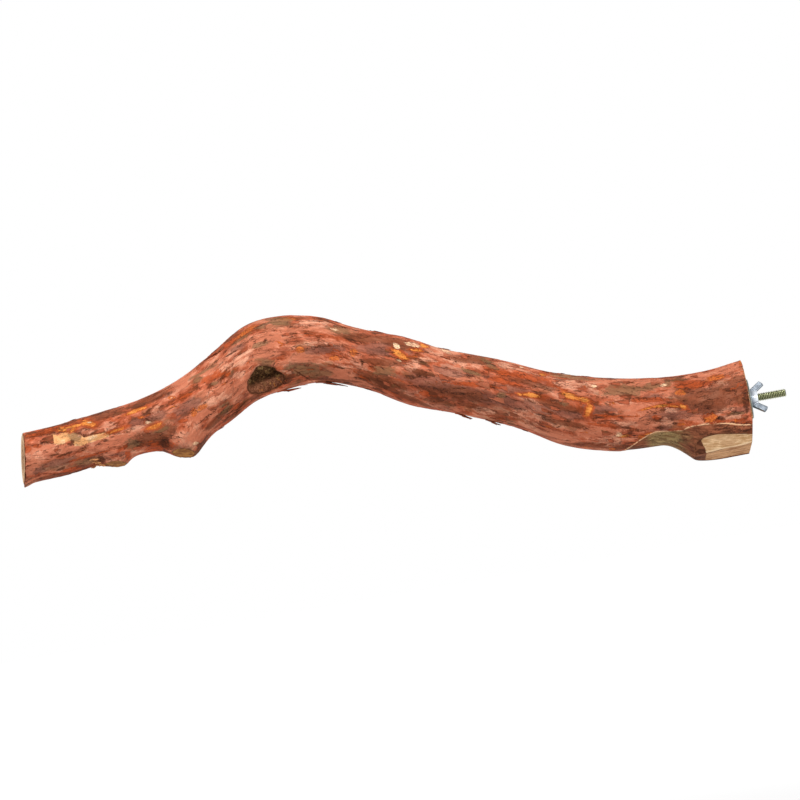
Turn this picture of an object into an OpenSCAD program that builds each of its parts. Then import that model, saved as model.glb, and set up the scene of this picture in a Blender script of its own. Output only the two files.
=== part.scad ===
// Natural branch perch that clamps to cage wires with a bolt and a wing nut at its thick end.
// Millimetres. The bolt's axis is X, pointing away from the branch. Z is up and the front is -Y.
// The origin is on the bolt's axis, on the clamping face between the two washers.

/* [Branch] */
// Length of the branch between its two saw cuts
branch_l = 546; // [400:1:750]
// Height of the arch's middle above the bolt
arch_h = 96; // [60:1:130]
// How far the branch sways to the front or the back
sway_w = 16; // [0:1:30]
// Usual thickness of the branch, bark included
stem_d = 54; // [44:1:66]
// Lean of the free end's saw cut, in degrees
free_cut_lean = 8.5; // [0:0.5:18]
// Turn of the free end's saw cut towards the front, in degrees
free_cut_turn = 10.5; // [0:0.5:18]

/* [Bark] */
// Thickness of the bark
bark_t = 1.2; // [0.8:0.1:2.4]
// Length of the longest loose strip of outer bark
strip_l = 34; // [20:1:45]
// Width of the widest loose strip of outer bark
strip_w = 11; // [6:1:16]
// Thickness of a loose strip of outer bark
strip_t = 0.6; // [0.4:0.1:1]
// How far the free end of a loose strip stands off the bark
strip_lift = 2.4; // [1:0.1:4]

/* [Pruned twigs] */
// How far the larger stub's swelling stands off the stem before it is cut
large_stub_rise = 17; // [14.5:0.5:22]
// How far the smaller stub's swelling stands off the stem before it is cut
small_stub_rise = 10; // [8.5:0.5:16]
// Half length of the larger stub's swelling along the branch
large_stub_half_l = 16; // [10:0.5:20]
// Half length of the smaller stub's swelling along the branch
small_stub_half_l = 9; // [7:0.5:14]
// Height of the larger stub's cut face above the stem
large_stub_h = 13; // [8:0.5:14]
// Height of the smaller stub's cut face above the stem
small_stub_h = 4; // [2:0.5:8]

/* [Knothole] */
// Radius of the knothole's mouth
hollow_r = 13.5; // [8:0.5:16]
// Depth of the knothole
hollow_depth = 12; // [6:0.5:14]

/* [Sliced side branch] */
// How far the side branch swells off the stem before it is sliced
side_rise = 30; // [22:0.5:36]
// Length over which the side branch swells out of the stem
side_run = 47; // [35:1:80]
// Distance from the bolt's axis to the front slice
front_slice = 40.7; // [38:0.1:46]
// Distance from the bolt's axis to the slice underneath
under_slice = 37.3; // [34:0.1:42]
// Height below the bolt's axis where the saw cut begins to lean back
toe_start = 12; // [8:0.5:20]

/* [Hanger bolt] */
// Diameter of both threads
bolt_d = 6.35; // [5:0.05:8]
// Depth of the machine thread
thread_depth = 0.78; // [0.3:0.01:0.9]
// Pitch of the machine thread
thread_pitch = 1.27; // [0.8:0.01:1.5]
// Length of the machine thread outside the branch
machine_l = 29; // [22:1:45]
// Length of the plain land behind the bolt's end chamfer
land_l = 1; // [0.8:0.1:1.5]
// Length of the chamfer on the bolt's end
end_chamfer = 0.7; // [0.3:0.1:1.2]
// Length of the plain collar inside the branch
collar_l = 4; // [2:0.5:8]
// Length of the wood thread
wood_l = 26; // [18:1:40]
// Pitch of the wood thread
wood_pitch = 2.6; // [2:0.1:3.2]
// Diameter of the pilot hole in the branch
pilot_d = 4.4; // [3.6:0.1:4.6]

/* [Washers] */
// Outer diameter of both washers
washer_d = 30; // [20:1:38]
// Clearance between the bolt and the washers' holes
washer_clear = 0.2; // [0.1:0.05:0.8]
// Thickness of each washer
washer_t = 1; // [0.8:0.1:2]

/* [Wing nut] */
// Diameter of the hub where it meets the washer
hub_d = 12; // [10:0.5:16]
// Diameter of the hub's outer end
hub_end_d = 10.4; // [9:0.1:14]
// Height of the hub
hub_h = 5.6; // [4:0.1:9]
// Length of a wing past the hub's outer end
wing_l = 8.2; // [5:0.1:14]
// Breadth of a wing
wing_w = 5; // [3:0.1:6]
// Radius of the corners of a wing's tip
wing_corner_r = 0.9; // [0.4:0.1:1.4]
// Thickness of a wing
wing_t = 2.6; // [1.6:0.1:4]
// Angle of a wing from the bolt's axis, in degrees
wing_flare = 38; // [25:1:60]
// Where the wings stand at rest, turned about the bolt, in degrees
wing_turn = -33; // [-90:1:90]
// Clearance between the nut and the crests of the thread
nut_clear = 0.05; // [0.02:0.01:0.1]

/* [Hidden] */

// Overrun of every cut past the face that it goes through
over = 1;
// Clearance between the bark's inner face and the wood
bark_fit = 0.1;
// Gap under a loose strip where it lies on the bark
strip_fit = 0.15;
// Facets of a round cut or a turned solid
round_fn = 96;
// Rings along the branch and points around each ring
rings = 86;
ring_points = 28;

// The branch, station by station from the clamped end to the free end. Each row has the share of
// branch_l along X, then the middle's height as a share of arch_h, the half height and the half
// depth as shares of stem_d, and the sway to the front as a share of sway_w.
station_shares = [
    [0.000, 0.015, 0.520, 0.540, 0.00],
    [0.055, 0.000, 0.492, 0.512, 0.00],
    [0.120, 0.024, 0.487, 0.475, 0.10],
    [0.190, 0.078, 0.530, 0.490, 0.28],
    [0.260, 0.190, 0.532, 0.475, 0.38],
    [0.320, 0.358, 0.488, 0.440, 0.34],
    [0.400, 0.544, 0.468, 0.430, 0.12],
    [0.460, 0.686, 0.502, 0.450, -0.15],
    [0.520, 0.850, 0.450, 0.425, -0.42],
    [0.570, 0.965, 0.478, 0.440, -0.58],
    [0.620, 0.997, 0.512, 0.475, -0.62],
    [0.670, 0.962, 0.520, 0.485, -0.52],
    [0.720, 0.806, 0.508, 0.450, -0.28],
    [0.770, 0.694, 0.435, 0.405, 0.02],
    [0.820, 0.627, 0.382, 0.378, 0.32],
    [0.880, 0.591, 0.352, 0.368, 0.62],
    [0.940, 0.549, 0.355, 0.368, 0.85],
    [1.000, 0.533, 0.354, 0.370, 1.00]
];

// Long flutes in the stem, each with its height as a share of the stem's radius, its count around,
// its start in degrees, and its twist in degrees over the branch's length.
flute_shares = [
    [0.022, 2, 35, 140],
    [0.020, 3, -20, -170],
    [0.012, 5, 60, 260]
];

// Low burls and hollows in the stem, each with its place along as a share of branch_l, its angle
// from the top towards the front in degrees, its height as a share of stem_d, its half length as a
// share of branch_l, and its half width in degrees.
burl_shares = [
    [0.655, 62, 0.045, 0.030, 34],
    [0.590, 118, -0.035, 0.022, 26],
    [0.452, 20, 0.030, 0.026, 30],
    [0.330, 95, 0.028, 0.030, 32],
    [0.235, 250, 0.040, 0.035, 36],
    [0.545, 265, 0.045, 0.030, 34],
    [0.800, 285, 0.030, 0.026, 30],
    [0.665, 185, 0.035, 0.065, 50]
];

// Pruned twigs: place along as a share of branch_l, angle in degrees, and lean of the cut towards
// the clamped end in degrees
small_stub_share = 0.872;
small_stub_angle = 166;
small_stub_lean = -4;
large_stub_share = 0.773;
large_stub_angle = 155;
large_stub_lean = -9;
// Half width of a twig's swelling around the stem, in degrees, and the saw block's length as a share
// of the swelling's half length
stub_half_angle = 35;
stub_cut_share = 3.2;

// Knothole: place along as a share of branch_l, and angle in degrees
hollow_share = 0.652;
hollow_angle = 129;

// Side branch: its angle, its half width around the stem, the angles that its slices face, and how
// far each slice leans towards the bolt, in degrees
side_angle = 165;
side_half_angle = 38;
front_slice_angle = 122.5;
front_slice_lean = -8.4;
under_slice_angle = 167.5;
under_slice_lean = 1.2;
// Where the side branch is at half its height, and the slices' length, as shares of side_run
side_middle_share = 1;
side_cut_share = 2;
// Lean of the saw cut's lower part, in degrees
toe_lean = 10.5;

// Share of the branch over which the saw cut at the free end skews the stem's rings
skew_share = 0.09;

// Loose strips of outer bark: place of the held end as a share of branch_l, angle in degrees,
// length as a share of strip_l, width as a share of strip_w, and lift as a share of strip_lift.
// A negative length runs towards the clamped end.
strip_shares = [
    [0.640, 176, -0.85, 0.60, 1.00],
    [0.585, 170, -1.00, 0.75, 0.85],
    [0.402, 172, -0.60, 0.55, 0.90],
    [0.362, 168, -0.50, 0.50, 0.80],
    [0.950, 172, -0.50, 0.45, 0.80],
    [0.955, 60, 0.60, 0.70, 0.50],
    [0.700, 20, 0.75, 0.80, 0.50],
    [0.470, 340, 0.80, 0.90, 0.50],
    [0.270, 300, -0.90, 1.00, 0.60],
    [0.530, 215, 0.90, 0.90, 0.80]
];
// Grid of each loose strip, along and across, its narrowing towards the free end as a share of its
// width, and the extra lift of its long edges as a share of its lift
strip_rows = 6;
strip_columns = 4;
strip_narrow_share = 0.45;
strip_curl_share = 0.3;

// Places of the root and the next crest as shares of the machine thread's pitch, and of the flanks
// and the crest as shares of the wood thread's pitch
machine_thread_shares = [0.44, 0.88];
wood_thread_shares = [0.3, 0.5, 0.7];

// Length of a wing inside the hub as a share of wing_w
wing_root_share = 0.7;

// Derived sizes
saw_face_x = -washer_t;
bolt_tip_x = saw_face_x + machine_l;
pilot_r = pilot_d / 2;
bolt_r = bolt_d / 2;
root_r = bolt_r - thread_depth;
cut_w = 2 * stem_d;

// A smooth step from 0 to 1
function eased(t) = let (u = min(max(t, 0), 1)) u * u * (3 - 2 * u);

// Angle brought into the range from -180 to 180
function wrapped(a) = a - 360 * floor((a + 180) / 360);

// A bell that is 1 at zero and falls with the square of t
function bell(t) = exp(-t * t);

// Slope of a column at a station, and the smooth curve through the stations
function slope_at(c, i) =
    let (low = max(i - 1, 0), high = min(i + 1, len(station_shares) - 1))
    (station_shares[high][c] - station_shares[low][c])
        / (station_shares[high][0] - station_shares[low][0]);

function station_value(c, s, i = 0) =
    i < len(station_shares) - 2 && s > station_shares[i + 1][0]
    ? station_value(c, s, i + 1)
    : let (
        gap = station_shares[i + 1][0] - station_shares[i][0],
        t = (s - station_shares[i][0]) / gap,
        rise = station_shares[i + 1][c] - station_shares[i][c],
        start = slope_at(c, i) * gap,
        stop = slope_at(c, i + 1) * gap
    )
    station_shares[i][c] + t * start + t * t * (3 * rise - 2 * start - stop)
        + t * t * t * (start + stop - 2 * rise);

// Middle of the stem, its half height and half depth
function stem_middle(s) = [
    saw_face_x - branch_l * s,
    -sway_w * station_value(4, s),
    arch_h * station_value(1, s)
];

// Swellings over the plain stem, in millimetres
function flutes(s, a) = [for (f = flute_shares) f[0] * cos(f[1] * (a - f[2] - f[3] * s))]
    * [for (f = flute_shares) 1];

function burls(s, a) = [
    for (b = burl_shares) b[2] * bell((s - b[0]) / b[3]) * bell(wrapped(a - b[1]) / b[4])
] * [for (b = burl_shares) stem_d];

function stub_swell(s, a, share, angle, rise, half_l) =
    rise * bell(branch_l * (s - share) / half_l) * bell(wrapped(a - angle) / stub_half_angle);

function side_swell(s, a) =
    side_rise * eased(side_middle_share + 1 / 2 - branch_l * s / side_run)
        * bell(wrapped(a - side_angle) / side_half_angle);

// A point of the wood's surface, lifted off it by lift. s runs from 0 at the clamped end to 1 at
// the free end, and a is the angle in degrees from the top towards the front.
function skin_point(s, a, lift = 0) =
    let (
        middle = stem_middle(s),
        deep = stem_d * station_value(3, s) * sin(a),
        high = stem_d * station_value(2, s) * cos(a),
        plain = norm([deep, high]),
        swell = plain * flutes(s, a) + burls(s, a) + side_swell(s, a)
            + stub_swell(s, a, small_stub_share, small_stub_angle, small_stub_rise, small_stub_half_l)
            + stub_swell(s, a, large_stub_share, large_stub_angle, large_stub_rise, large_stub_half_l),
        size = 1 + (swell + lift - bark_t) / plain,
        skew = eased((s - 1) / skew_share + 1),
        back = skew * size * (high * tan(free_cut_lean) + deep * tan(free_cut_turn))
    )
    middle + [back, -deep * size, high * size];

// Rings of points along the branch, at one lift
function skin_points(lift) = [
    for (i = [0 : rings - 1], j = [0 : ring_points - 1])
        skin_point(i / (rings - 1), 360 * j / ring_points, lift)
];

// Triangles between neighbouring rings, from point number first on
function skin_faces(first) = [
    for (i = [0 : rings - 2], j = [0 : ring_points - 1], half = [0, 1])
        let (
            k = (j + 1) % ring_points,
            p = first + i * ring_points,
            q = p + ring_points
        )
        half == 0 ? [p + j, p + k, q + j] : [p + k, q + k, q + j]
];

// A flat fan over an end ring, around a middle point
function end_faces(ring, middle) = [
    for (j = [0 : ring_points - 1]) [middle, ring + (j + 1) % ring_points, ring + j]
];

// A flat band between two end rings that lie one inside the other
function rim_faces(outer, inner) = [
    for (j = [0 : ring_points - 1], half = [0, 1])
        let (k = (j + 1) % ring_points)
        half == 0 ? [outer + j, inner + j, outer + k] : [outer + k, inner + j, inner + k]
];

function turned_over(faces) = [for (f = faces) [f[2], f[1], f[0]]];

// The saw's cut through a twig: the block that lies past the cut face, which faces the angle a from
// the top towards the front and leans towards the bolt by lean degrees
module twig_cut(share, a, lean, face_h, rise, half_l) {
    cut_l = stub_cut_share * half_l;
    translate(skin_point(share, a, bark_t + face_h - rise))
        rotate([a, 0, 0])
            rotate([0, lean, 0])
                translate([-cut_l / 2, -cut_w / 2, 0])
                    cube([cut_l, cut_w, rise]);
}

// The hollow of the knothole: a turned cup with a round floor, set square to the bark
module hollow() {
    floor_shares = [[0, 1], [0.3, 0.97], [0.55, 0.86], [0.76, 0.66], [0.9, 0.4], [0.98, 0.14]];
    translate(skin_point(hollow_share, hollow_angle, bark_t))
        rotate([hollow_angle, 0, 0])
            rotate_extrude($fn = round_fn)
                polygon(concat(
                    [for (f = floor_shares) [hollow_r * f[0], -hollow_depth * f[1]]],
                    [[hollow_r, hollow_depth], [0, hollow_depth]]
                ));
}

// The hollow of the knothole, the saw's cuts through the twigs, the two slices and the toe
module branch_cuts() {
    hollow();
    twig_cut(small_stub_share, small_stub_angle, small_stub_lean, small_stub_h,
        small_stub_rise, small_stub_half_l);
    twig_cut(large_stub_share, large_stub_angle, large_stub_lean, large_stub_h,
        large_stub_rise, large_stub_half_l);
    slice_cut(front_slice_angle, front_slice_lean, front_slice);
    slice_cut(under_slice_angle, under_slice_lean, under_slice);
    toe_cut();
}

// Everything past one slice through the side branch. The slice faces the angle a from the top
// towards the front, leans towards the bolt by lean degrees, and passes the bolt's axis at distance
// in the plane of the origin.
module slice_cut(a, lean, distance) {
    cut_l = side_cut_share * side_run;
    rotate([a, 0, 0])
        translate([0, 0, distance])
            rotate([0, lean, 0])
                translate([saw_face_x - cut_l, -cut_w, 0])
                    cube([cut_l + cut_w, 2 * cut_w, cut_w]);
}

// The lower part of the saw cut leans back under the clamped end
module toe_cut() {
    translate([saw_face_x, 0, -toe_start])
        rotate([0, toe_lean, 0])
            translate([0, -cut_w, -cut_w])
                cube([cut_w, 2 * cut_w, cut_w]);
}

module wood_core() {
    last = (rings - 1) * ring_points;
    count = rings * ring_points;
    points = concat(skin_points(0), [stem_middle(0), stem_middle(1)]);
    faces = concat(
        skin_faces(0),
        end_faces(0, count),
        turned_over(end_faces(last, count + 1))
    );
    color("burlywood")
        difference() {
            polyhedron(points, faces);
            branch_cuts();
            translate([saw_face_x - collar_l - wood_l - wood_pitch, 0, 0])
                rotate([0, 90, 0])
                    cylinder(h = collar_l + wood_l + wood_pitch + over, r = pilot_r, $fn = round_fn);
            translate([saw_face_x - collar_l, 0, 0])
                rotate([0, 90, 0])
                    cylinder(h = collar_l + over, r = bolt_r, $fn = round_fn);
        }
}

module bark() {
    last = (rings - 1) * ring_points;
    count = rings * ring_points;
    points = concat(skin_points(bark_t), skin_points(bark_fit));
    faces = concat(
        skin_faces(0),
        turned_over(skin_faces(count)),
        rim_faces(0, count),
        turned_over(rim_faces(last, count + last))
    );
    color("indianred")
        difference() {
            polyhedron(points, faces);
            branch_cuts();
        }
}

// One loose strip: a thin curved plate that lies on the bark at one end and lifts off at the other
module strip(row) {
    across = strip_columns + 1;
    count = (strip_rows + 1) * across;
    half_turn = asin(min(strip_w * row[3] / stem_d, 1));
    function strip_point(i, j, rise) =
        let (
            u = i / strip_rows,
            v = 2 * j / strip_columns - 1,
            narrow = 1 - strip_narrow_share * u * u,
            curl = strip_lift * row[4] * u * u * (1 + strip_curl_share * v * v)
        )
        skin_point(
            row[0] + u * strip_l * row[2] / branch_l,
            row[1] + half_turn * narrow * v,
            bark_t + strip_fit + curl + rise
        );
    points = [
        for (rise = [strip_t, 0], i = [0 : strip_rows], j = [0 : strip_columns])
            strip_point(i, j, rise)
    ];
    top = [
        for (i = [0 : strip_rows - 1], j = [0 : strip_columns - 1], half = [0, 1])
            let (p = i * across + j, q = p + across)
            half == 0 ? [p, p + 1, q] : [p + 1, q + 1, q]
    ];
    under = [for (f = top) [f[2] + count, f[1] + count, f[0] + count]];
    rim = concat(
        [for (j = [0 : strip_columns]) j],
        [for (i = [1 : strip_rows]) i * across + strip_columns],
        [for (j = [1 : strip_columns]) count - 1 - j],
        [for (i = [1 : strip_rows - 1]) (strip_rows - i) * across]
    );
    wall = [
        for (n = [0 : len(rim) - 1], half = [0, 1])
            let (p = rim[n], q = rim[(n + 1) % len(rim)])
            half == 0 ? [p, p + count, q] : [q, p + count, q + count]
    ];
    faces = concat(top, under, wall);
    polyhedron(points, row[2] > 0 ? faces : turned_over(faces));
}

module bark_strips() {
    color("sienna")
        for (row = strip_shares)
            strip(row);
}

// Outline of the machine thread: rings of crest and groove, then the land and the end chamfer
function machine_outline() =
    let (
        start = saw_face_x,
        grooves = floor((machine_l - land_l - end_chamfer) / thread_pitch) - 1,
        first = bolt_tip_x - end_chamfer - land_l - grooves * thread_pitch
    )
    concat(
        [[bolt_r, start]],
        [
            for (n = [0 : grooves - 1], k = [0 : 2])
                let (y = first + n * thread_pitch)
                k == 0 ? [bolt_r, y]
                : k == 1 ? [root_r, y + thread_pitch * machine_thread_shares[0]]
                : [bolt_r, y + thread_pitch * machine_thread_shares[1]]
        ],
        [
            [bolt_r, bolt_tip_x - end_chamfer],
            [bolt_r - end_chamfer, bolt_tip_x],
            [0, bolt_tip_x]
        ]
    );

// Outline of the collar and the wood thread, from the point to the saw face
function wood_outline() =
    let (
        point_x = saw_face_x - collar_l - wood_l,
        turns = floor(wood_l / wood_pitch) - 1,
        first = saw_face_x - collar_l - turns * wood_pitch
    )
    concat(
        [[0, point_x], [pilot_r, first]],
        [
            for (n = [0 : turns - 1], k = [0 : 2])
                let (y = first + n * wood_pitch)
                [k == 1 ? bolt_r : pilot_r, y + wood_pitch * wood_thread_shares[k]]
        ],
        [[pilot_r, saw_face_x - collar_l], [bolt_r, saw_face_x - collar_l]]
    );

module hanger_bolt() {
    color("darkkhaki")
        rotate([0, 90, 0])
            rotate_extrude($fn = round_fn)
                polygon(concat(wood_outline(), machine_outline()));
}

module washer(x) {
    color("silver")
        translate([x, 0, 0])
            rotate([0, 90, 0])
                difference() {
                    cylinder(h = washer_t, r = washer_d / 2, $fn = round_fn);
                    translate([0, 0, -over])
                        cylinder(h = washer_t + 2 * over, r = bolt_r + washer_clear, $fn = round_fn);
                }
}

module inner_washer() {
    washer(saw_face_x);
}

module outer_washer() {
    washer(0);
}

// One wing: a flat bar in a plane through the bolt's axis, from inside the hub to its tip
module wing() {
    translate([0, wing_t / 2, 0])
        rotate([90, 0, 0])
            linear_extrude(height = wing_t)
                wing_outline();
}

// Outline of a wing, with its inner edge leaving the hub at the rim of its outer end
module wing_outline() {
    root_l = wing_root_share * wing_w;
    straight_l = root_l + wing_l - wing_corner_r;
    translate([hub_end_d / 2, hub_h])
        rotate(90 - wing_flare)
            translate([-root_l, -wing_w])
                union() {
                    square([straight_l, wing_w]);
                    translate([0, wing_corner_r])
                        square([root_l + wing_l, wing_w - 2 * wing_corner_r]);
                    for (y = [wing_corner_r, wing_w - wing_corner_r])
                        translate([straight_l, y])
                            circle(r = wing_corner_r, $fn = round_fn);
                }
}

module wing_nut() {
    color("lightsteelblue")
        translate([washer_t, 0, 0])
            rotate([wing_turn, 0, 0])
                rotate([0, 90, 0])
                    difference() {
                        union() {
                            cylinder(h = hub_h, r1 = hub_d / 2, r2 = hub_end_d / 2, $fn = round_fn);
                            wing();
                            rotate([0, 0, 180])
                                wing();
                        }
                        translate([0, 0, -over])
                            cylinder(h = hub_h + 2 * over, r = bolt_r + nut_clear, $fn = round_fn);
                        translate([0, 0, -hub_h])
                            cylinder(h = hub_h, r = hub_d, $fn = round_fn);
                    }
}

wood_core();
bark();
bark_strips();
hanger_bolt();
inner_washer();
outer_washer();
wing_nut();
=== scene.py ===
# A natural branch perch with its bolt, washers and wing nut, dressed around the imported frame.
# Shapes are worked out in millimetres and become metres when they go into a mesh.
import math

import bpy
import numpy as np
from mathutils import Matrix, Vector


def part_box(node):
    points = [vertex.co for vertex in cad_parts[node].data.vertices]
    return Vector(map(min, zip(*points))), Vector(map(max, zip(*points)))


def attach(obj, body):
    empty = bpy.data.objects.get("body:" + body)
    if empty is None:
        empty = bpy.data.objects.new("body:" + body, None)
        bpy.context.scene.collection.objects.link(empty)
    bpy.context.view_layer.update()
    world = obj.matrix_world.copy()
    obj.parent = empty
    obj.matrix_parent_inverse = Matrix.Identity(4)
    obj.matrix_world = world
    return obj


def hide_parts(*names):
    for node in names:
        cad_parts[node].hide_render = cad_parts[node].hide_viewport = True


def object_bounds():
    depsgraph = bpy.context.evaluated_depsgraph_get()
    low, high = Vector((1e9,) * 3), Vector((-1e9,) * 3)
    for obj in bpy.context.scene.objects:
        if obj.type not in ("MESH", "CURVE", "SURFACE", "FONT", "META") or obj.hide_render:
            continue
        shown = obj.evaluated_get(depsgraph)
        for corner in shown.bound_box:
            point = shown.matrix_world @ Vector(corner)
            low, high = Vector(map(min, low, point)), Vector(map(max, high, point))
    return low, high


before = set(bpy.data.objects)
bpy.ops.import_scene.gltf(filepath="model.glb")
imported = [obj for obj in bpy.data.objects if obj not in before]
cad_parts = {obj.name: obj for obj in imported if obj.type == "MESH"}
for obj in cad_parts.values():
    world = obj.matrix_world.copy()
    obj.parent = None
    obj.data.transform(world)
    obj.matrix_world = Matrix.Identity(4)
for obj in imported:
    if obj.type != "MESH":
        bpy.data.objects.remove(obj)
bpy.context.view_layer.update()
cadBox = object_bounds()
print("frame loaded")

metre = 0.001  # one millimetre in metres


# Small curves and noise, all on whole arrays

def eased(t):
    # a smooth step: 0 below 0, 1 above 1
    t = np.clip(t, 0, 1)
    return t * t * (3 - 2 * t)


def bell(t):
    # 1 at zero, falling with the square of t
    return np.exp(-t * t)


def wrapped(angle):
    # degrees brought into -180 to 180
    return (angle + 180) % 360 - 180


def hashed(cell, salt):
    # a repeatable number from 0 to 1 for each whole-number cell: its counts are multiplied by large odd
    # numbers, and their bits are mixed twice
    n = salt * 2654435761
    for axis, odd in enumerate((73856093, 19349663, 83492791)):
        n = n ^ (cell[..., axis] * odd)
    n = n & 0xFFFFFFFF
    for shift, odd in ((13, 1274126177), (16, 2246822519)):
        n = ((n ^ (n >> shift)) * odd) & 0xFFFFFFFF
    return ((n ^ (n >> 15)) & 0xFFFFFF) / 0xFFFFFF


def softNoise(points, salt):
    # each corner of a unit cell has its own slope, and the eight slopes are blended smoothly, giving about
    # -1 to 1. Another salt is another noise
    cell = np.floor(points).astype(np.int64)
    inside = points - cell
    blend = inside ** 3 * (inside * (inside * 6 - 15) + 10)
    total = 0
    for corner in np.ndindex(2, 2, 2):
        corner = np.array(corner)
        slope = np.stack([hashed(cell + corner, salt + axis) for axis in range(3)], -1) * 2 - 1
        weight = np.prod(np.where(corner == 1, blend, 1 - blend), -1)
        total = total + weight * (slope * (inside - corner)).sum(-1)
    return total * 1.7


def fractal(points, octaves, salt):
    # noise over noise: each octave is twice as fine, half as high and moved along
    return sum(softNoise(points * 2 ** k + 13.7 * k, salt + 11 * k) / 2 ** k for k in range(octaves))


# Meshes

def makePiece(name, points, faces, attributes=None, creaseAngle=None):
    # points in millimetres, faces as arrays of three or four corner numbers, attributes by name
    mesh = bpy.data.meshes.new(name)
    corners = np.concatenate([f.ravel() for f in faces]).astype(np.int32)
    sizes = np.concatenate([np.full(len(f), f.shape[1]) for f in faces]).astype(np.int32)
    mesh.vertices.add(len(points))
    mesh.vertices.foreach_set("co", (points * metre).astype(np.float32).ravel())
    mesh.loops.add(len(corners))
    mesh.loops.foreach_set("vertex_index", corners)
    mesh.polygons.add(len(sizes))
    mesh.polygons.foreach_set("loop_start", np.concatenate([[0], np.cumsum(sizes)[:-1]]).astype(np.int32))
    mesh.polygons.foreach_set("use_smooth", np.ones(len(sizes), bool))
    mesh.update(calc_edges=True)
    for label, values in (attributes or {}).items():
        vector = values.ndim == 2
        attribute = mesh.attributes.new(label, "FLOAT_VECTOR" if vector else "FLOAT", "POINT")
        attribute.data.foreach_set("vector" if vector else "value", values.astype(np.float32).ravel())
    if creaseAngle is not None:
        mesh.set_sharp_from_angle(angle=math.radians(creaseAngle))
    piece = bpy.data.objects.new(name, mesh)
    bpy.context.scene.collection.objects.link(piece)
    return piece


def gridFaces(rows, columns, ring=True, first=0):
    # quads between neighbouring rows of points; ring joins the last column to the first
    across = columns if ring else columns - 1
    i, j = np.meshgrid(np.arange(rows - 1), np.arange(across), indexing="ij")
    here = first + i * columns + j
    beside = first + i * columns + (j + 1) % columns
    return np.stack([here, beside, beside + columns, here + columns], -1).reshape(-1, 4)


def turnedOver(faces):
    return faces[:, ::-1]


def fan(ring, middle):
    # triangles from a ring of points to one in its middle
    return np.stack([ring, np.roll(ring, -1), np.full(len(ring), middle)], -1)


def ringAround(turn, x, radius):
    # points round the bolt's axis, at a place along it and a distance from it
    return np.stack([0 * turn + x, -radius * np.sin(turn), radius * np.cos(turn)], -1)


# The branch's shape: s runs from 0 at the clamped end to 1 at the free end, and a is in degrees
# from the top towards the front. These are the real sizes of the frame's branch, in millimetres
branch = {
    "length": 546,
    "archHeight": 96,
    "sway": 16,
    "width": 54,
    "sawFace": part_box("inner_washer")[0].x / metre,
    "endLean": 8.5,            # degrees that the free end's saw cut leans and turns
    "endTurn": 10.5,
    "endSkewShare": 0.09,      # share of the length over which the rings skew into it
    "barkThickness": 1.2,
    "barkGap": 0.1,            # between the bark and the wood
    # along, height of the middle, half height, half depth, sway
    "stations": np.array([
        [0.000, 0.015, 0.520, 0.540, 0.00],
        [0.055, 0.000, 0.492, 0.512, 0.00],
        [0.120, 0.024, 0.487, 0.475, 0.10],
        [0.190, 0.078, 0.530, 0.490, 0.28],
        [0.260, 0.190, 0.532, 0.475, 0.38],
        [0.320, 0.358, 0.488, 0.440, 0.34],
        [0.400, 0.544, 0.468, 0.430, 0.12],
        [0.460, 0.686, 0.502, 0.450, -0.15],
        [0.520, 0.850, 0.450, 0.425, -0.42],
        [0.570, 0.965, 0.478, 0.440, -0.58],
        [0.620, 0.997, 0.512, 0.475, -0.62],
        [0.670, 0.962, 0.520, 0.485, -0.52],
        [0.720, 0.806, 0.508, 0.450, -0.28],
        [0.770, 0.694, 0.435, 0.405, 0.02],
        [0.820, 0.627, 0.382, 0.378, 0.32],
        [0.880, 0.591, 0.352, 0.368, 0.62],
        [0.940, 0.549, 0.355, 0.368, 0.85],
        [1.000, 0.533, 0.354, 0.370, 1.00],
    ]),
    # share of the radius, count around, start, twist over the length
    "flutes": [(0.022, 2, 35, 140), (0.020, 3, -20, -170), (0.012, 5, 60, 260)],
    # along, angle, share of the width, half length share, half angle
    "burls": [
        (0.655, 62, 0.045, 0.030, 34),
        (0.590, 118, -0.035, 0.022, 26),
        (0.452, 20, 0.030, 0.026, 30),
        (0.330, 95, 0.028, 0.030, 32),
        (0.235, 250, 0.040, 0.035, 36),
        (0.545, 265, 0.045, 0.030, 34),
        (0.800, 285, 0.030, 0.026, 30),
        (0.665, 185, 0.035, 0.065, 50),
    ],
    # along, angle, lean of the cut, height of its face above the stem, rise and half length of the swelling
    "twigs": [(0.872, 166, -4, 4.0, 10, 9), (0.773, 155, -9, 13.0, 17, 16)],
    "twigHalfAngle": 35,
    "sideRise": 30,            # the sliced side branch's swelling, at the clamped end
    "sideRun": 47,
    "sideAngle": 165,
    "sideHalfAngle": 38,
    # facing angle, lean and distance from the bolt's axis
    "slices": [(122.5, -8.4, 40.7), (167.5, 1.2, 37.3)],
    "toeStart": 12,            # the saw cut leans back from here down
    "toeLean": 10.5,
    "farOut": 999.0,           # a distance that no cut reaches
}


def stationCurve(s, column):
    # a smooth curve through the stations: each span is a cubic whose end slopes join its neighbours
    along, values = branch["stations"][:, 0], branch["stations"][:, column]
    last = len(along) - 1
    low = np.maximum(np.arange(last + 1) - 1, 0)
    high = np.minimum(np.arange(last + 1) + 1, last)
    slopes = (values[high] - values[low]) / (along[high] - along[low])
    i = np.clip(np.searchsorted(along, s) - 1, 0, last - 1)
    gap = along[i + 1] - along[i]
    t = (s - along[i]) / gap
    rise = values[i + 1] - values[i]
    start, stop = slopes[i] * gap, slopes[i + 1] * gap
    return values[i] + t * start + t * t * (3 * rise - 2 * start - stop) + t ** 3 * (start + stop - 2 * rise)


def stemLine(s):
    # the middle of the stem
    return np.stack([
        branch["sawFace"] - branch["length"] * s,
        -branch["sway"] * stationCurve(s, 4),
        branch["archHeight"] * stationCurve(s, 1),
    ], -1)


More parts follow.
